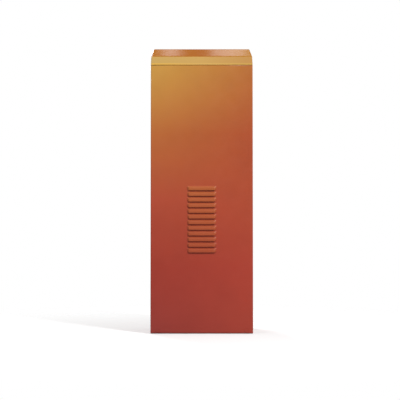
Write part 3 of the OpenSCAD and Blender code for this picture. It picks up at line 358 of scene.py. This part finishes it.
blackened = metal("blackened flag steel", "#26282A", "#3A3D40", 0.3, 0.46, 1.2, depth_mm=0.02)
nickel_brass = metal("nickel-plated brass", "#B3A88C", "#CFC6AE", 0.18, 0.3, 1.0, (0.1, 0.1, 1.0), 0.02)
eased("limit_flags", blackened, 0.3)
eased("limit_sensors", nickel_brass, 0.3)

# ---------------------------------------------------------------------------------------------
# Cylinders, glands and clamp
# Honed steel tube under black enamel, closed by turned bronze glands, and held by a clamp cast in
# aluminium with a shot-blasted skin.

black_enamel = painted("black enamel on steel tube", "#131416", "#1C1D20", 0.16, 0.28, 3.0, 0.03, 40.0, 0.3)
turned_bronze = metal("turned bronze", "#A87E3C", "#C79A50", 0.2, 0.36, 0.8, (0.08, 0.08, 1.0), 0.02)
blasted_aluminium = metal("shot-blasted cast aluminium", "#A6A9AB", "#BFC2C3", 0.42, 0.6, 1.1, depth_mm=0.12)
for node in ("cylinder_open", "cylinder_close"):
    eased(node, black_enamel, 1.0, 3)
eased("cylinder_glands", turned_bronze, 0.5)
eased("cylinder_clamp", blasted_aluminium, 1.0, 3)

# ---------------------------------------------------------------------------------------------
# Balance spring
# An extension spring of 5.6 mm spring steel wire under red enamel, with a hook at each end. It is
# drawn out at rest and shortens as the boom rises; here it is one fixed wire at its rest length.

SPRING_AXIS_X, SPRING_AXIS_Y = -0.06364, 0.012
SPRING_FOOT_Z, SPRING_PIN_Z = 0.455, 0.92364
SPRING_COIL_R, SPRING_WIRE_R, SPRING_HOOK_R = 0.0152, 0.0028, 0.010
SPRING_TURNS, STEPS_PER_TURN = 22, 24


def wire_mesh(points, radius, rounding=5):
    """A round wire along a list of points, as a closed mesh."""
    line = bpy.data.curves.new("wire", "CURVE")
    line.dimensions = "3D"
    line.bevel_depth = radius
    line.bevel_resolution = rounding
    line.use_fill_caps = True
    spline = line.splines.new("POLY")
    spline.points.add(len(points) - 1)
    for point, place in zip(spline.points, points):
        point.co = (*place, 1.0)
    holder = bpy.data.objects.new("wire", line)
    bpy.context.scene.collection.objects.link(holder)
    bpy.context.view_layer.update()
    mesh = bpy.data.meshes.new_from_object(holder.evaluated_get(bpy.context.evaluated_depsgraph_get()))
    bpy.data.objects.remove(holder)
    for face in mesh.polygons:
        face.use_smooth = len(face.vertices) == 4
    return mesh


def on_hook(z, degrees):
    """A place on the hook round the pin at a height."""
    turn = radians(degrees)
    return SPRING_AXIS_X + SPRING_HOOK_R * cos(turn), SPRING_AXIS_Y, z + SPRING_HOOK_R * sin(turn)


def off_hook(z, up):
    """The wire's run from a hook out to the first coil."""
    x, y = SPRING_AXIS_X + SPRING_HOOK_R, SPRING_AXIS_Y
    return [(x + 0.0004, y, z + up * 0.005), (x + 0.0022, y + up * 0.0003, z + up * 0.010),
            (SPRING_AXIS_X + SPRING_COIL_R - 0.0008, y + up * 0.0018, z + up * 0.0145)]


coil_bottom = SPRING_FOOT_Z + SPRING_HOOK_R + 0.008
coil_top = SPRING_PIN_Z - SPRING_HOOK_R - 0.008
spring_line = [on_hook(SPRING_FOOT_Z, a) for a in range(120, 361, 12)] + off_hook(SPRING_FOOT_Z, 1)
for i in range(2, SPRING_TURNS * STEPS_PER_TURN - 1):
    turn = i / STEPS_PER_TURN
    spring_line.append((SPRING_AXIS_X + SPRING_COIL_R * cos(2 * pi * turn),
                        SPRING_AXIS_Y + SPRING_COIL_R * sin(2 * pi * turn),
                        coil_bottom + (coil_top - coil_bottom) * turn / SPRING_TURNS))
spring_line += off_hook(SPRING_PIN_Z, -1)[::-1] + [on_hook(SPRING_PIN_Z, a) for a in range(0, 241, 12)]
red_enamel = painted("red enamel on spring steel", "#8E1F1A", "#A62A22", 0.24, 0.4, 1.4, 0.03, 18.0, 0.2)
spring = place_piece("balance_spring_wire", wire_mesh(spring_line, SPRING_WIRE_R), red_enamel,
                     NODE_BODY["balance_spring"], ["balance_spring"])
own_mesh(spring)
eased("spring_adjuster", bright_zinc, 0.4)

# ---------------------------------------------------------------------------------------------
# Power pack
# The tank is drawn aluminium with a dull skin, and the block over it is milled and clear anodised.
# The two flow screws are dyed blue and red, so that they are told apart.

drawn_aluminium = metal("drawn aluminium", "#A5A8AA", "#C0C3C5", 0.34, 0.5, 2.0, (1.0, 1.0, 0.1), 0.03)
milled_aluminium = metal("milled and clear anodised aluminium", "#B4B7B9", "#CDD0D1", 0.26, 0.38, 1.4,
                         (1.0, 0.1, 1.0))
blue_anodised = metal("blue anodised aluminium", "#1E4E93", "#2C66B5", 0.22, 0.34, 1.0, (0.1, 1.0, 0.1), 0.02)
red_anodised = metal("red anodised aluminium", "#A3201E", "#C2332C", 0.22, 0.34, 1.0, (0.1, 1.0, 0.1), 0.02)
black_nylon = moulded("moulded black nylon", "#161718", "#1F2021", 0.4, 0.56, 0.9, 0.04, 1.53)
eased("oil_tank", drawn_aluminium, 1.2, 3)
eased("manifold_block", milled_aluminium, 0.6)
eased("flow_screw_open", blue_anodised, 0.3)
eased("flow_screw_close", red_anodised, 0.3)
eased("filler_plug", black_nylon, 0.6)
eased("breather_valve", nickel_brass, 0.4)

# ---------------------------------------------------------------------------------------------
# Motor, fan and cowl
# A finned aluminium motor body in grey-blue enamel, a moulded fan, and a pressed steel cowl with
# the same enamel over its punched holes.

motor_enamel = painted("grey-blue motor enamel", "#46525E", "#53606D", 0.3, 0.45, 1.5, 0.08, 30.0, 0.1)
eased("motor_body", motor_enamel, 0.5)
eased("motor_rotor", ground_round_z, 0.3)
eased("cooling_fan", black_nylon, 0.4)
eased("fan_cowl", motor_enamel, 0.4)

# ---------------------------------------------------------------------------------------------
# Hand release
# A moulded nylon housing in the back wall, with a dust flap over the triangular end of a bare
# steel spindle.

eased("release_housing", black_nylon, 0.8, 3)
eased("release_flap", black_nylon, 0.5)
eased("release_spindle", ground_round_y, 0.3)

# ---------------------------------------------------------------------------------------------
# Control box and its board
# The box is moulded in light grey ABS and its cover in clear polycarbonate. The board is glass
# epoxy under green solder mask, through which the copper tracks show as paler lines.

grey_abs = moulded("moulded grey ABS", "#B9BCBD", "#C6C9CA", 0.38, 0.52, 0.9, 0.04, 1.53)
eased("control_box", grey_abs, 1.0, 3)

clear_cover, tree, shader, place = finish("clear polycarbonate", roughness=0.06, colour="#EEF2F3", ior=1.585)
shader.inputs["Transmission Weight"].default_value = 1.0
# slow waves in the sheet, which bend what is seen through it
waves = add(tree, "ShaderNodeTexNoise", {"Vector": place, "Scale": MM / 25.0, "Detail": 1.0})
bump = add(tree, "ShaderNodeBump", {"Height": waves.outputs["Fac"], "Strength": 0.3, "Distance": 0.15 / MM})
tree.links.new(bump.outputs["Normal"], shader.inputs["Normal"])
eased("control_cover", clear_cover, 1.0, 3)

solder_mask, tree, shader, place = finish("green solder mask", roughness=0.3, ior=1.53)
across = add(tree, "ShaderNodeMapping", {"Vector": place, "Rotation": (radians(90), 0, 0)})
# tracks are 0.3 mm wide; drawn 1.2 mm wide so that they show
tracks = add(tree, "ShaderNodeTexBrick", {
    "Vector": across.outputs["Vector"], "Scale": 160.0, "Mortar Size": 0.09, "Brick Width": 1.3,
    "Row Height": 0.55, "Color1": srgb("#123F22"), "Color2": srgb("#16492A"), "Mortar": srgb("#3F7A48")})
tree.links.new(tracks.outputs["Color"], shader.inputs["Base Color"])
bump = add(tree, "ShaderNodeBump", {"Height": tracks.outputs["Fac"], "Strength": 0.5, "Distance": 0.05 / MM})
tree.links.new(bump.outputs["Normal"], shader.inputs["Normal"])
eased("circuit_board", solder_mask, 0.2, 1)

board_mouldings, tree, shader, place = finish("moulded connectors and relays", roughness=0.42, ior=1.53)
island = add(tree, "ShaderNodeNewGeometry").outputs["Random Per Island"]
ramp = add(tree, "ShaderNodeValToRGB", {"Fac": island})
colour = stops(ramp, [(0.0, "#1A1B1D"), (0.35, "#2E4C86"), (0.6, "#2F7D46"), (0.8, "#C9CBCB")])
ramp.color_ramp.interpolation = "CONSTANT"
tree.links.new(colour, shader.inputs["Base Color"])
grit = add(tree, "ShaderNodeTexNoise", {"Vector": place, "Scale": MM / 0.8, "Detail": 3.0})
bump = add(tree, "ShaderNodeBump", {"Height": grit.outputs["Fac"], "Strength": 0.5, "Distance": 0.03 / MM})
tree.links.new(bump.outputs["Normal"], shader.inputs["Normal"])
eased("board_parts", board_mouldings, 0.3)

# ---------------------------------------------------------------------------------------------
# Leads and their glands
# Round neoprene-sheathed leads, 6 mm across, satin black. They are fixed wiring: each is gripped
# by a gland under the box at one end, and made off at the motor or a sensor at the other.

LEAD_R = 0.003
LEAD_Y = -0.062
MOTOR_LEAD = [(0.020, LEAD_Y, 0.579), (0.020, LEAD_Y, 0.561), (0.024, -0.065, 0.547), (0.048, -0.076, 0.531),
              (0.078, -0.086, 0.505), (0.092, -0.094, 0.455), (0.094, -0.096, 0.415), (0.084, -0.094, 0.387),
              (0.066, -0.093, 0.376), (0.0483, -0.094, 0.375)]


def sensor_lead(gland_x, y, bow):
    """A sensor's lead: down out of its gland, up beside the box, and over it to the sensor."""
    return [(gland_x, LEAD_Y, 0.579), (gland_x, LEAD_Y, 0.561),
            (gland_x + 0.005, LEAD_Y - 0.002 * bow, 0.551), (gland_x + 0.016 - 0.005 * bow, y, 0.548),
            (0.124, y, 0.555), (0.128, y, 0.575), (0.128, y, 0.670), (0.128, y, 0.757),
            (0.122, y, 0.770), (0.098, y, 0.771), (0.036, y, 0.771), (0.010, y, 0.772),
            (0.002, y, 0.775), (0.0, y, 0.7806)]


def smooth_line(points, steps=8):
    """A Catmull-Rom curve through the points."""
    line = []
    last = len(points) - 1
    for i in range(last):
        a, b, c, d = (Vector(points[k]) for k in (max(i - 1, 0), i, i + 1, min(i + 2, last)))
        for k in range(steps):
            t = k / steps
            line.append(0.5 * (2 * b + (c - a) * t + (2 * a - 5 * b + 4 * c - d) * t * t
                               + (3 * b - a - 3 * c + d) * t ** 3))
    return line + [Vector(points[last])]


leads = bmesh.new()
for route in (MOTOR_LEAD, sensor_lead(0.055, -0.0545, 0), sensor_lead(0.090, -0.0665, 1)):
    leads.from_mesh(wire_mesh(smooth_line(route), LEAD_R))
neoprene = moulded("neoprene lead sheath", "#151515", "#1E1E1F", 0.42, 0.56, 1.5, 0.03, 1.52)
place_piece("lead_set", leads, neoprene, NODE_BODY["cable_leads"], ["cable_leads"])
eased("cable_glands", black_nylon, 0.4)

# ---------------------------------------------------------------------------------------------
# Boom flange and its nut
# Turned steel plate, bright zinc plated, keyed to the shaft's tail and held by one locknut. The
# facing cut left fine rings, seen as a soft sheen.

turned_zinc = metal("turned and zinc plated flange steel", "#A1A5A8", "#BFC3C5", 0.24, 0.38, 1.0)
eased("boom_flange", turned_zinc, 0.8, 3)
eased("flange_nut", bright_zinc, 0.6)

# ---------------------------------------------------------------------------------------------
# Door
# A folded tray of 1.5 mm steel, coated like the upright. Its louvres are lanced and pressed out of
# the sheet, so each hood runs into the sheet in one soft curve and is open along its lower edge.

DOOR_SHEET = 0.0015
DOOR_BEND = 0.0035
LOUVRE_COUNT, LOUVRE_PITCH, LOUVRE_Z = 12, 0.02125, 0.305
LOUVRE_HALF, LOUVRE_H, LOUVRE_OUT = 0.055, 0.0155, 0.0060
HOOD_END_RUN = 0.0060   # how far the hood's ends slope in
HOOD_SHOULDER = 0.0105  # height of the hood's shoulder above its lip
HOOD_MITRE = 0.0055     # how far the lip's ends turn up at 45 degrees to meet the sheet
# how much lighter and more golden the hoods are made: painted light on their upturned faces
HOOD_PAINTED_LIGHT = (1.0, 1.4, 0.95)
door_low, door_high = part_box("door_panel")
door_front = door_low[1] + LOUVRE_OUT
door_back = door_high[1]


def box_mesh(low, high):
    """A block between two corners, as a bmesh."""
    bm = bmesh.new()
    bmesh.ops.create_cube(bm, size=1.0)
    low, high = Vector(low), Vector(high)
    bmesh.ops.transform(bm, verts=bm.verts, matrix=Matrix.Diagonal((*(high - low), 1.0)))
    bmesh.ops.translate(bm, verts=bm.verts, vec=(low + high) / 2)
    return bm


def faces_where(bm, test):
    return [f for f in bm.faces if test(f.calc_center_median(), f.normal)]


def round_edges(bm, edges, width, segments=3):
    return bmesh.ops.bevel(bm, geom=list(edges), offset=width, segments=segments, profile=0.5,
                           affect="EDGES", material=-1, clamp_overlap=True)


def between(value, low, high, slack=1e-5):
    return low - slack <= value <= high + slack


tray = box_mesh((-door_high[0], door_front, door_low[2]), (door_high[0], door_back, door_high[2]))
tray.normal_update()
bmesh.ops.delete(tray, geom=faces_where(tray, lambda c, n: n.y > 0.9), context="FACES_ONLY")
folds = [e for e in tray.edges if all(abs(v.co.y - door_front) < 1e-6 for v in e.verts)]
round_edges(tray, folds, DOOR_BEND, 4)

# lance lines across the front, then the hoods are drawn out of the strips between them
cuts = [((x, 0, 0), (1, 0, 0)) for x in (-LOUVRE_HALF, LOUVRE_HALF)]
for i in range(LOUVRE_COUNT):
    z = LOUVRE_Z + i * LOUVRE_PITCH
    cuts += [((0, 0, z), (0, 0, 1)), ((0, 0, z + LOUVRE_H), (0, 0, 1))]
for point, normal in cuts:
    bmesh.ops.bisect_plane(tray, geom=[*tray.verts, *tray.edges, *tray.faces],
                           plane_co=point, plane_no=normal)
tray.normal_update()


def in_louvre(c, n):
    """Whether a face of the front, with its middle at c, lies in a strip that becomes a hood."""
    step = (c.z - LOUVRE_Z) % LOUVRE_PITCH
    rows = between(c.z, LOUVRE_Z, LOUVRE_Z + (LOUVRE_COUNT - 1) * LOUVRE_PITCH + LOUVRE_H)
    return n.y < -0.9 and abs(c.x) < LOUVRE_HALF and rows and step < LOUVRE_H


hood_tops, hood_mouths = [], []
for face in faces_where(tray, in_louvre):
    lip_z = min(v.co.z for v in face.verts)
    around = set(face.verts)
    raised = bmesh.ops.extrude_discrete_faces(tray, faces=[face])["faces"][0]
    for v in around - set(raised.verts):
        if v.is_valid and v.co.z < lip_z + LOUVRE_H / 2:
            v.co.z = lip_z + HOOD_MITRE
    for v in raised.verts:
        upper = v.co.z > lip_z + LOUVRE_H / 2
        v.co.y -= LOUVRE_OUT * (0.82 if upper else 1.0)
        v.co.x -= (1 if v.co.x > 0 else -1) * HOOD_END_RUN * (1.25 if upper else 1.0)
        v.co.z = lip_z + (HOOD_SHOULDER if upper else 0.0)
    hood_tops.append(raised)
tray.normal_update()
for raised in hood_tops:
    lip = min(raised.edges, key=lambda e: sum(v.co.z for v in e.verts))
    hood_mouths += [f for f in lip.link_faces if f is not raised]
bmesh.ops.delete(tray, geom=hood_mouths, context="FACES_ONLY")
shoulders = {e for f in hood_tops for e in f.edges if len(e.link_faces) == 2}
corners = {e for f in hood_tops for v in f.verts for e in v.link_edges
           if e not in shoulders and len(e.link_faces) == 2}
feet = {e for f in hood_tops for s in shoulders & set(f.edges) for g in s.link_faces if g is not f
        for e in g.edges if len(e.link_faces) == 2 and e not in shoulders and e not in corners}
round_edges(tray, shoulders | corners | feet, 0.0021, 4)
bmesh.ops.recalc_face_normals(tray, faces=tray.faces)

pressed_coat_and_light = powder_coat_and_light("polyester powder coat, orange, over pressed hoods")
tree = pressed_coat_and_light.node_tree
shader = tree.nodes["Principled BSDF"]
# painted light: the coat is made lighter and more golden where the drawn hoods stand out of the
# sheet, standing for the light that their upturned faces catch from above
plain = shader.inputs["Base Color"].links[0].from_socket
depth = add(tree, "ShaderNodeSeparateXYZ", {"Vector": tree.nodes["Texture Coordinate"].outputs["Object"]})
drawn = add(tree, "ShaderNodeMapRange", {"Value": depth.outputs["Y"], "From Min": door_front - 0.0004,
                                         "From Max": door_front - 0.0016})
golden = add(tree, "ShaderNodeVectorMath", {0: plain, 1: HOOD_PAINTED_LIGHT}, operation="MULTIPLY").outputs["Vector"]
hooded = add(tree, "ShaderNodeMix", {0: drawn.outputs["Result"], MIX_A: plain, MIX_B: golden},
             data_type="RGBA")
tree.links.new(hooded.outputs[MIX_OUT], shader.inputs["Base Color"])
door_skin = place_piece("door_skin", tray, pressed_coat_and_light, "door", ["door_panel"])
for face in door_skin.data.polygons:
    face.use_smooth = True
sheet = door_skin.modifiers.new("1.5 mm sheet", "SOLIDIFY")
sheet.thickness = DOOR_SHEET
sheet.offset = -1.0
keep_flat(door_skin)

# ---------------------------------------------------------------------------------------------
# Door screws
# Two pan-head screws with a coat of the same powder, driven through the foot of the door.

eased("door_screws", orange_coat_and_light, 0.4)

# ---------------------------------------------------------------------------------------------
# Lid
# A folded 2 mm steel cover with a low bevelled crown and a hem along its lower edge. It is coated
# apart from the upright, with light and shade painted into its colour: a pale hem as a painted
# highlight, honey gold round the skirt as painted light, and deep orange over the crown as painted shade.

LID_SHEET, LID_HEM, LID_FRONT_HEM = 0.002, 0.014, 0.0415
LID_FOLD_R, LID_CORNER_R = 0.0035, 0.0025
lid_low, lid_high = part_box("lid_cover")
SKIRT_H, SKIRT_LEAN = 0.032, 0.0017
CROWN_END, CROWN_SIDE = 0.0095, 0.028
crown_z = lid_low[2] + SKIRT_H

cover = box_mesh(lid_low, lid_high)
bmesh.ops.bisect_plane(cover, geom=[*cover.verts, *cover.edges, *cover.faces],
                       plane_co=(0, 0, crown_z), plane_no=(0, 0, 1))
for v in cover.verts:
    side_x, side_y = (1 if v.co.x > 0 else -1), (1 if v.co.y > 0 else -1)
    if v.co.z > crown_z - 1e-5:
        v.co.x -= side_x * SKIRT_LEAN
        v.co.y -= side_y * SKIRT_LEAN
    if v.co.z > crown_z + 1e-5:
        v.co.x -= side_x * CROWN_END
        v.co.y -= side_y * CROWN_SIDE
cover.normal_update()
bmesh.ops.delete(cover, geom=faces_where(cover, lambda c, n: n.z < -0.9), context="FACES_ONLY")
folds = [e for e in cover.edges if all(v.co.z > crown_z - 1e-5 for v in e.verts) and len(e.link_faces) == 2]
round_edges(cover, folds, LID_FOLD_R, 4)
uprights = [e for e in cover.edges if len(e.link_faces) == 2
            and abs((e.verts[0].co - e.verts[1].co).z) > 0.02
            and all(abs(v.co.x) > lid_high[0] - 0.01 and abs(v.co.y) > lid_high[1] - 0.01 for v in e.verts)]
round_edges(cover, uprights, LID_CORNER_R, 3)

# the hem: folded in along the lower edge, wider where it crosses over the door
rim = [e for e in cover.edges if e.is_boundary]
turned_in = bmesh.ops.extrude_edge_only(cover, edges=rim)["geom"]
for v in (g for g in turned_in if isinstance(g, bmesh.types.BMVert)):
    v.co.x = (1 if v.co.x > 0 else -1) * (lid_high[0] - LID_HEM)
    v.co.y = lid_high[1] - LID_HEM if v.co.y > 0 else lid_low[1] + LID_FRONT_HEM
bmesh.ops.remove_doubles(cover, verts=cover.verts, dist=1e-6)
cover.normal_update()
bmesh.ops.recalc_face_normals(cover, faces=cover.faces)
hem_folds = [e for e in cover.edges if len(e.link_faces) == 2
             and all(abs(v.co.z - lid_low[2]) < 1e-6 for v in e.verts)
             and any(abs(f.normal.z) < 0.5 for f in e.link_faces)]
round_edges(cover, hem_folds, 0.0012, 3)


# painted light on the lid, at its left, middle and right: the pale hem is a painted highlight, the gold skirt
# is painted light, and the darker orange crown is painted shade
LID_HEM_HIGHLIGHT = ("#DCAC4C", "#D0A65C", "#C49A4C")
LID_SKIRT_COAT_LIT = ("#C4A05C", "#C49C58", "#B8884C")
LID_CROWN_COAT_SHADED = ("#A66410", "#9E5814", "#A46C18")


def lid_coat_and_light(name):
    """The lid's powder coat with painted light: a pale hem as a painted highlight, a lighter gold skirt, and
    a darker orange crown as painted shade.
    """
    made, tree, shader, place = finish(name)
    shader.inputs["Specular IOR Level"].default_value = 0.35
    z = add(tree, "ShaderNodeSeparateXYZ", {"Vector": place}).outputs["Z"]
    up = add(tree, "ShaderNodeMapRange", {"Value": z, "From Min": lid_low[2], "From Max": lid_high[2]})
    fold = SKIRT_H / (lid_high[2] - lid_low[2])
    columns = [[(0.07, hem), (0.11, skirt), (fold - 0.03, skirt), (fold + 0.01, crown)]
               for hem, skirt, crown in zip(LID_HEM_HIGHLIGHT, LID_SKIRT_COAT_LIT, LID_CROWN_COAT_SHADED)]
    tree.links.new(across_piece(tree, place, up.outputs["Result"], columns), shader.inputs["Base Color"])
    coat_skin(tree, shader, place, 0.1, 0.14)
    return made


lid_coat_lit = lid_coat_and_light("polyester powder coat, gold and orange")
lid_skin = place_piece("lid_skin", cover, lid_coat_lit, "lid", ["lid_cover"])
for face in lid_skin.data.polygons:
    face.use_smooth = True
sheet = lid_skin.modifiers.new("2 mm sheet", "SOLIDIFY")
sheet.thickness = LID_SHEET
sheet.offset = -1.0
keep_flat(lid_skin)

# ---------------------------------------------------------------------------------------------
# Lid lock
# A cam lock of die-cast zinc, chromed to a soft shine, in the back of the lid's skirt. A folded
# keeper on the upright's top flange holds its cam.

die_cast = metal("satin chromed die-cast zinc", "#A7AAAC", "#C3C6C8", 0.2, 0.34, 1.2, depth_mm=0.03)
eased("lid_lock_body", die_cast, 0.5)
eased("lid_lock_plug", die_cast, 0.3)
eased("lid_lock_cam", bright_zinc, 0.3)
eased("lock_keeper", plated_sheet, 0.4)

# ---------------------------------------------------------------------------------------------
# Studio
# A white floor that fades out, a pale surround, a broad key light from the front right, and two
# small lamps overhead that the crown mirrors.

world = bpy.data.worlds.new("studio")
bpy.context.scene.world = world
world.use_nodes = True
sky = world.node_tree
backdrop = sky.nodes["Background"]
dome = add(sky, "ShaderNodeBackground")
heading = add(sky, "ShaderNodeSeparateXYZ", {"Vector": add(sky, "ShaderNodeTexCoord").outputs["Generated"]})
level = add(sky, "ShaderNodeMapRange", {"Value": heading.outputs["Z"], "From Min": -0.2, "From Max": 1.0,
                                        "To Min": 0.34, "To Max": 0.4})
sky.links.new(level.outputs["Result"], dome.inputs["Strength"])
dome.inputs["Color"].default_value = (1, 1, 1, 1)
backdrop.inputs["Color"].default_value = (1, 1, 1, 1)
direct = add(sky, "ShaderNodeLightPath")
blend = add(sky, "ShaderNodeMixShader", {0: direct.outputs["Is Camera Ray"], 1: dome.outputs["Background"],
                                         2: backdrop.outputs["Background"]})
sky.links.new(blend.outputs[0], sky.nodes["World Output"].inputs["Surface"])
bpy.context.scene.view_settings.view_transform = "Standard"


def lamp(name, place, aim, width, height, watts, colour="#FFFFFF"):
    """A rectangular studio light, aimed at a point."""
    light = bpy.data.lights.new(name, "AREA")
    light.shape = "RECTANGLE"
    light.size, light.size_y = width, height
    light.energy = watts
    light.color = srgb(colour)[:3]
    made = bpy.data.objects.new(name, light)
    bpy.context.scene.collection.objects.link(made)
    made.location = place
    made.rotation_euler = (Vector(aim) - Vector(place)).to_track_quat("-Z", "Y").to_euler()
    return made


lamp("key light", (1.7, -2.6, 2.9), (0, 0, 0.55), 0.5, 0.5, 120)
lamp("glint light", (-1.7, -2.6, 2.9), (0, 0, 0.55), 0.3, 0.3, 16)
lamp("rear light", (-1.2, 2.8, 2.4), (0, 0, 0.5), 1.2, 1.2, 75)
lamp("overhead lamp left", (-0.171, -0.1, 3.05), (-0.171, -0.1, 1.0), 0.1, 0.3, 0.45)
lamp("overhead lamp right", (0.158, -0.1, 3.05), (0.158, -0.1, 1.0), 0.2, 0.3, 0.9)

floor_bm = bmesh.new()
bmesh.ops.create_circle(floor_bm, cap_ends=True, segments=96, radius=3.0)
floor_mesh = bpy.data.meshes.new("floor")
floor_bm.to_mesh(floor_mesh)
floor_bm.free()
floor = bpy.data.objects.new("floor", floor_mesh)
bpy.context.scene.collection.objects.link(floor)
floor.location.z = -0.0005
white_floor, tree, shader, place = finish("matt white floor", roughness=0.9, colour="#FFFFFF")
shader.inputs["Specular IOR Level"].default_value = 0.0
distance = add(tree, "ShaderNodeVectorMath", {0: place}, operation="LENGTH")
fade = add(tree, "ShaderNodeMapRange", {"Value": distance.outputs["Value"], "From Min": 0.5, "From Max": 1.6,
                                        "To Min": 0.6, "To Max": 0.0}, interpolation_type="SMOOTHSTEP")
tree.links.new(fade.outputs["Result"], shader.inputs["Alpha"])
floor_mesh.materials.append(white_floor)

camera = bpy.data.objects.new("camera", bpy.data.cameras.new("camera"))
bpy.context.scene.collection.objects.link(camera)
camera.location = (-0.0066, -4.14, 0.358)
camera.rotation_euler = (radians(92.06), 0, 0)
camera.data.lens = 95.75
camera.data.sensor_width = 36.0
bpy.context.scene.camera = camera
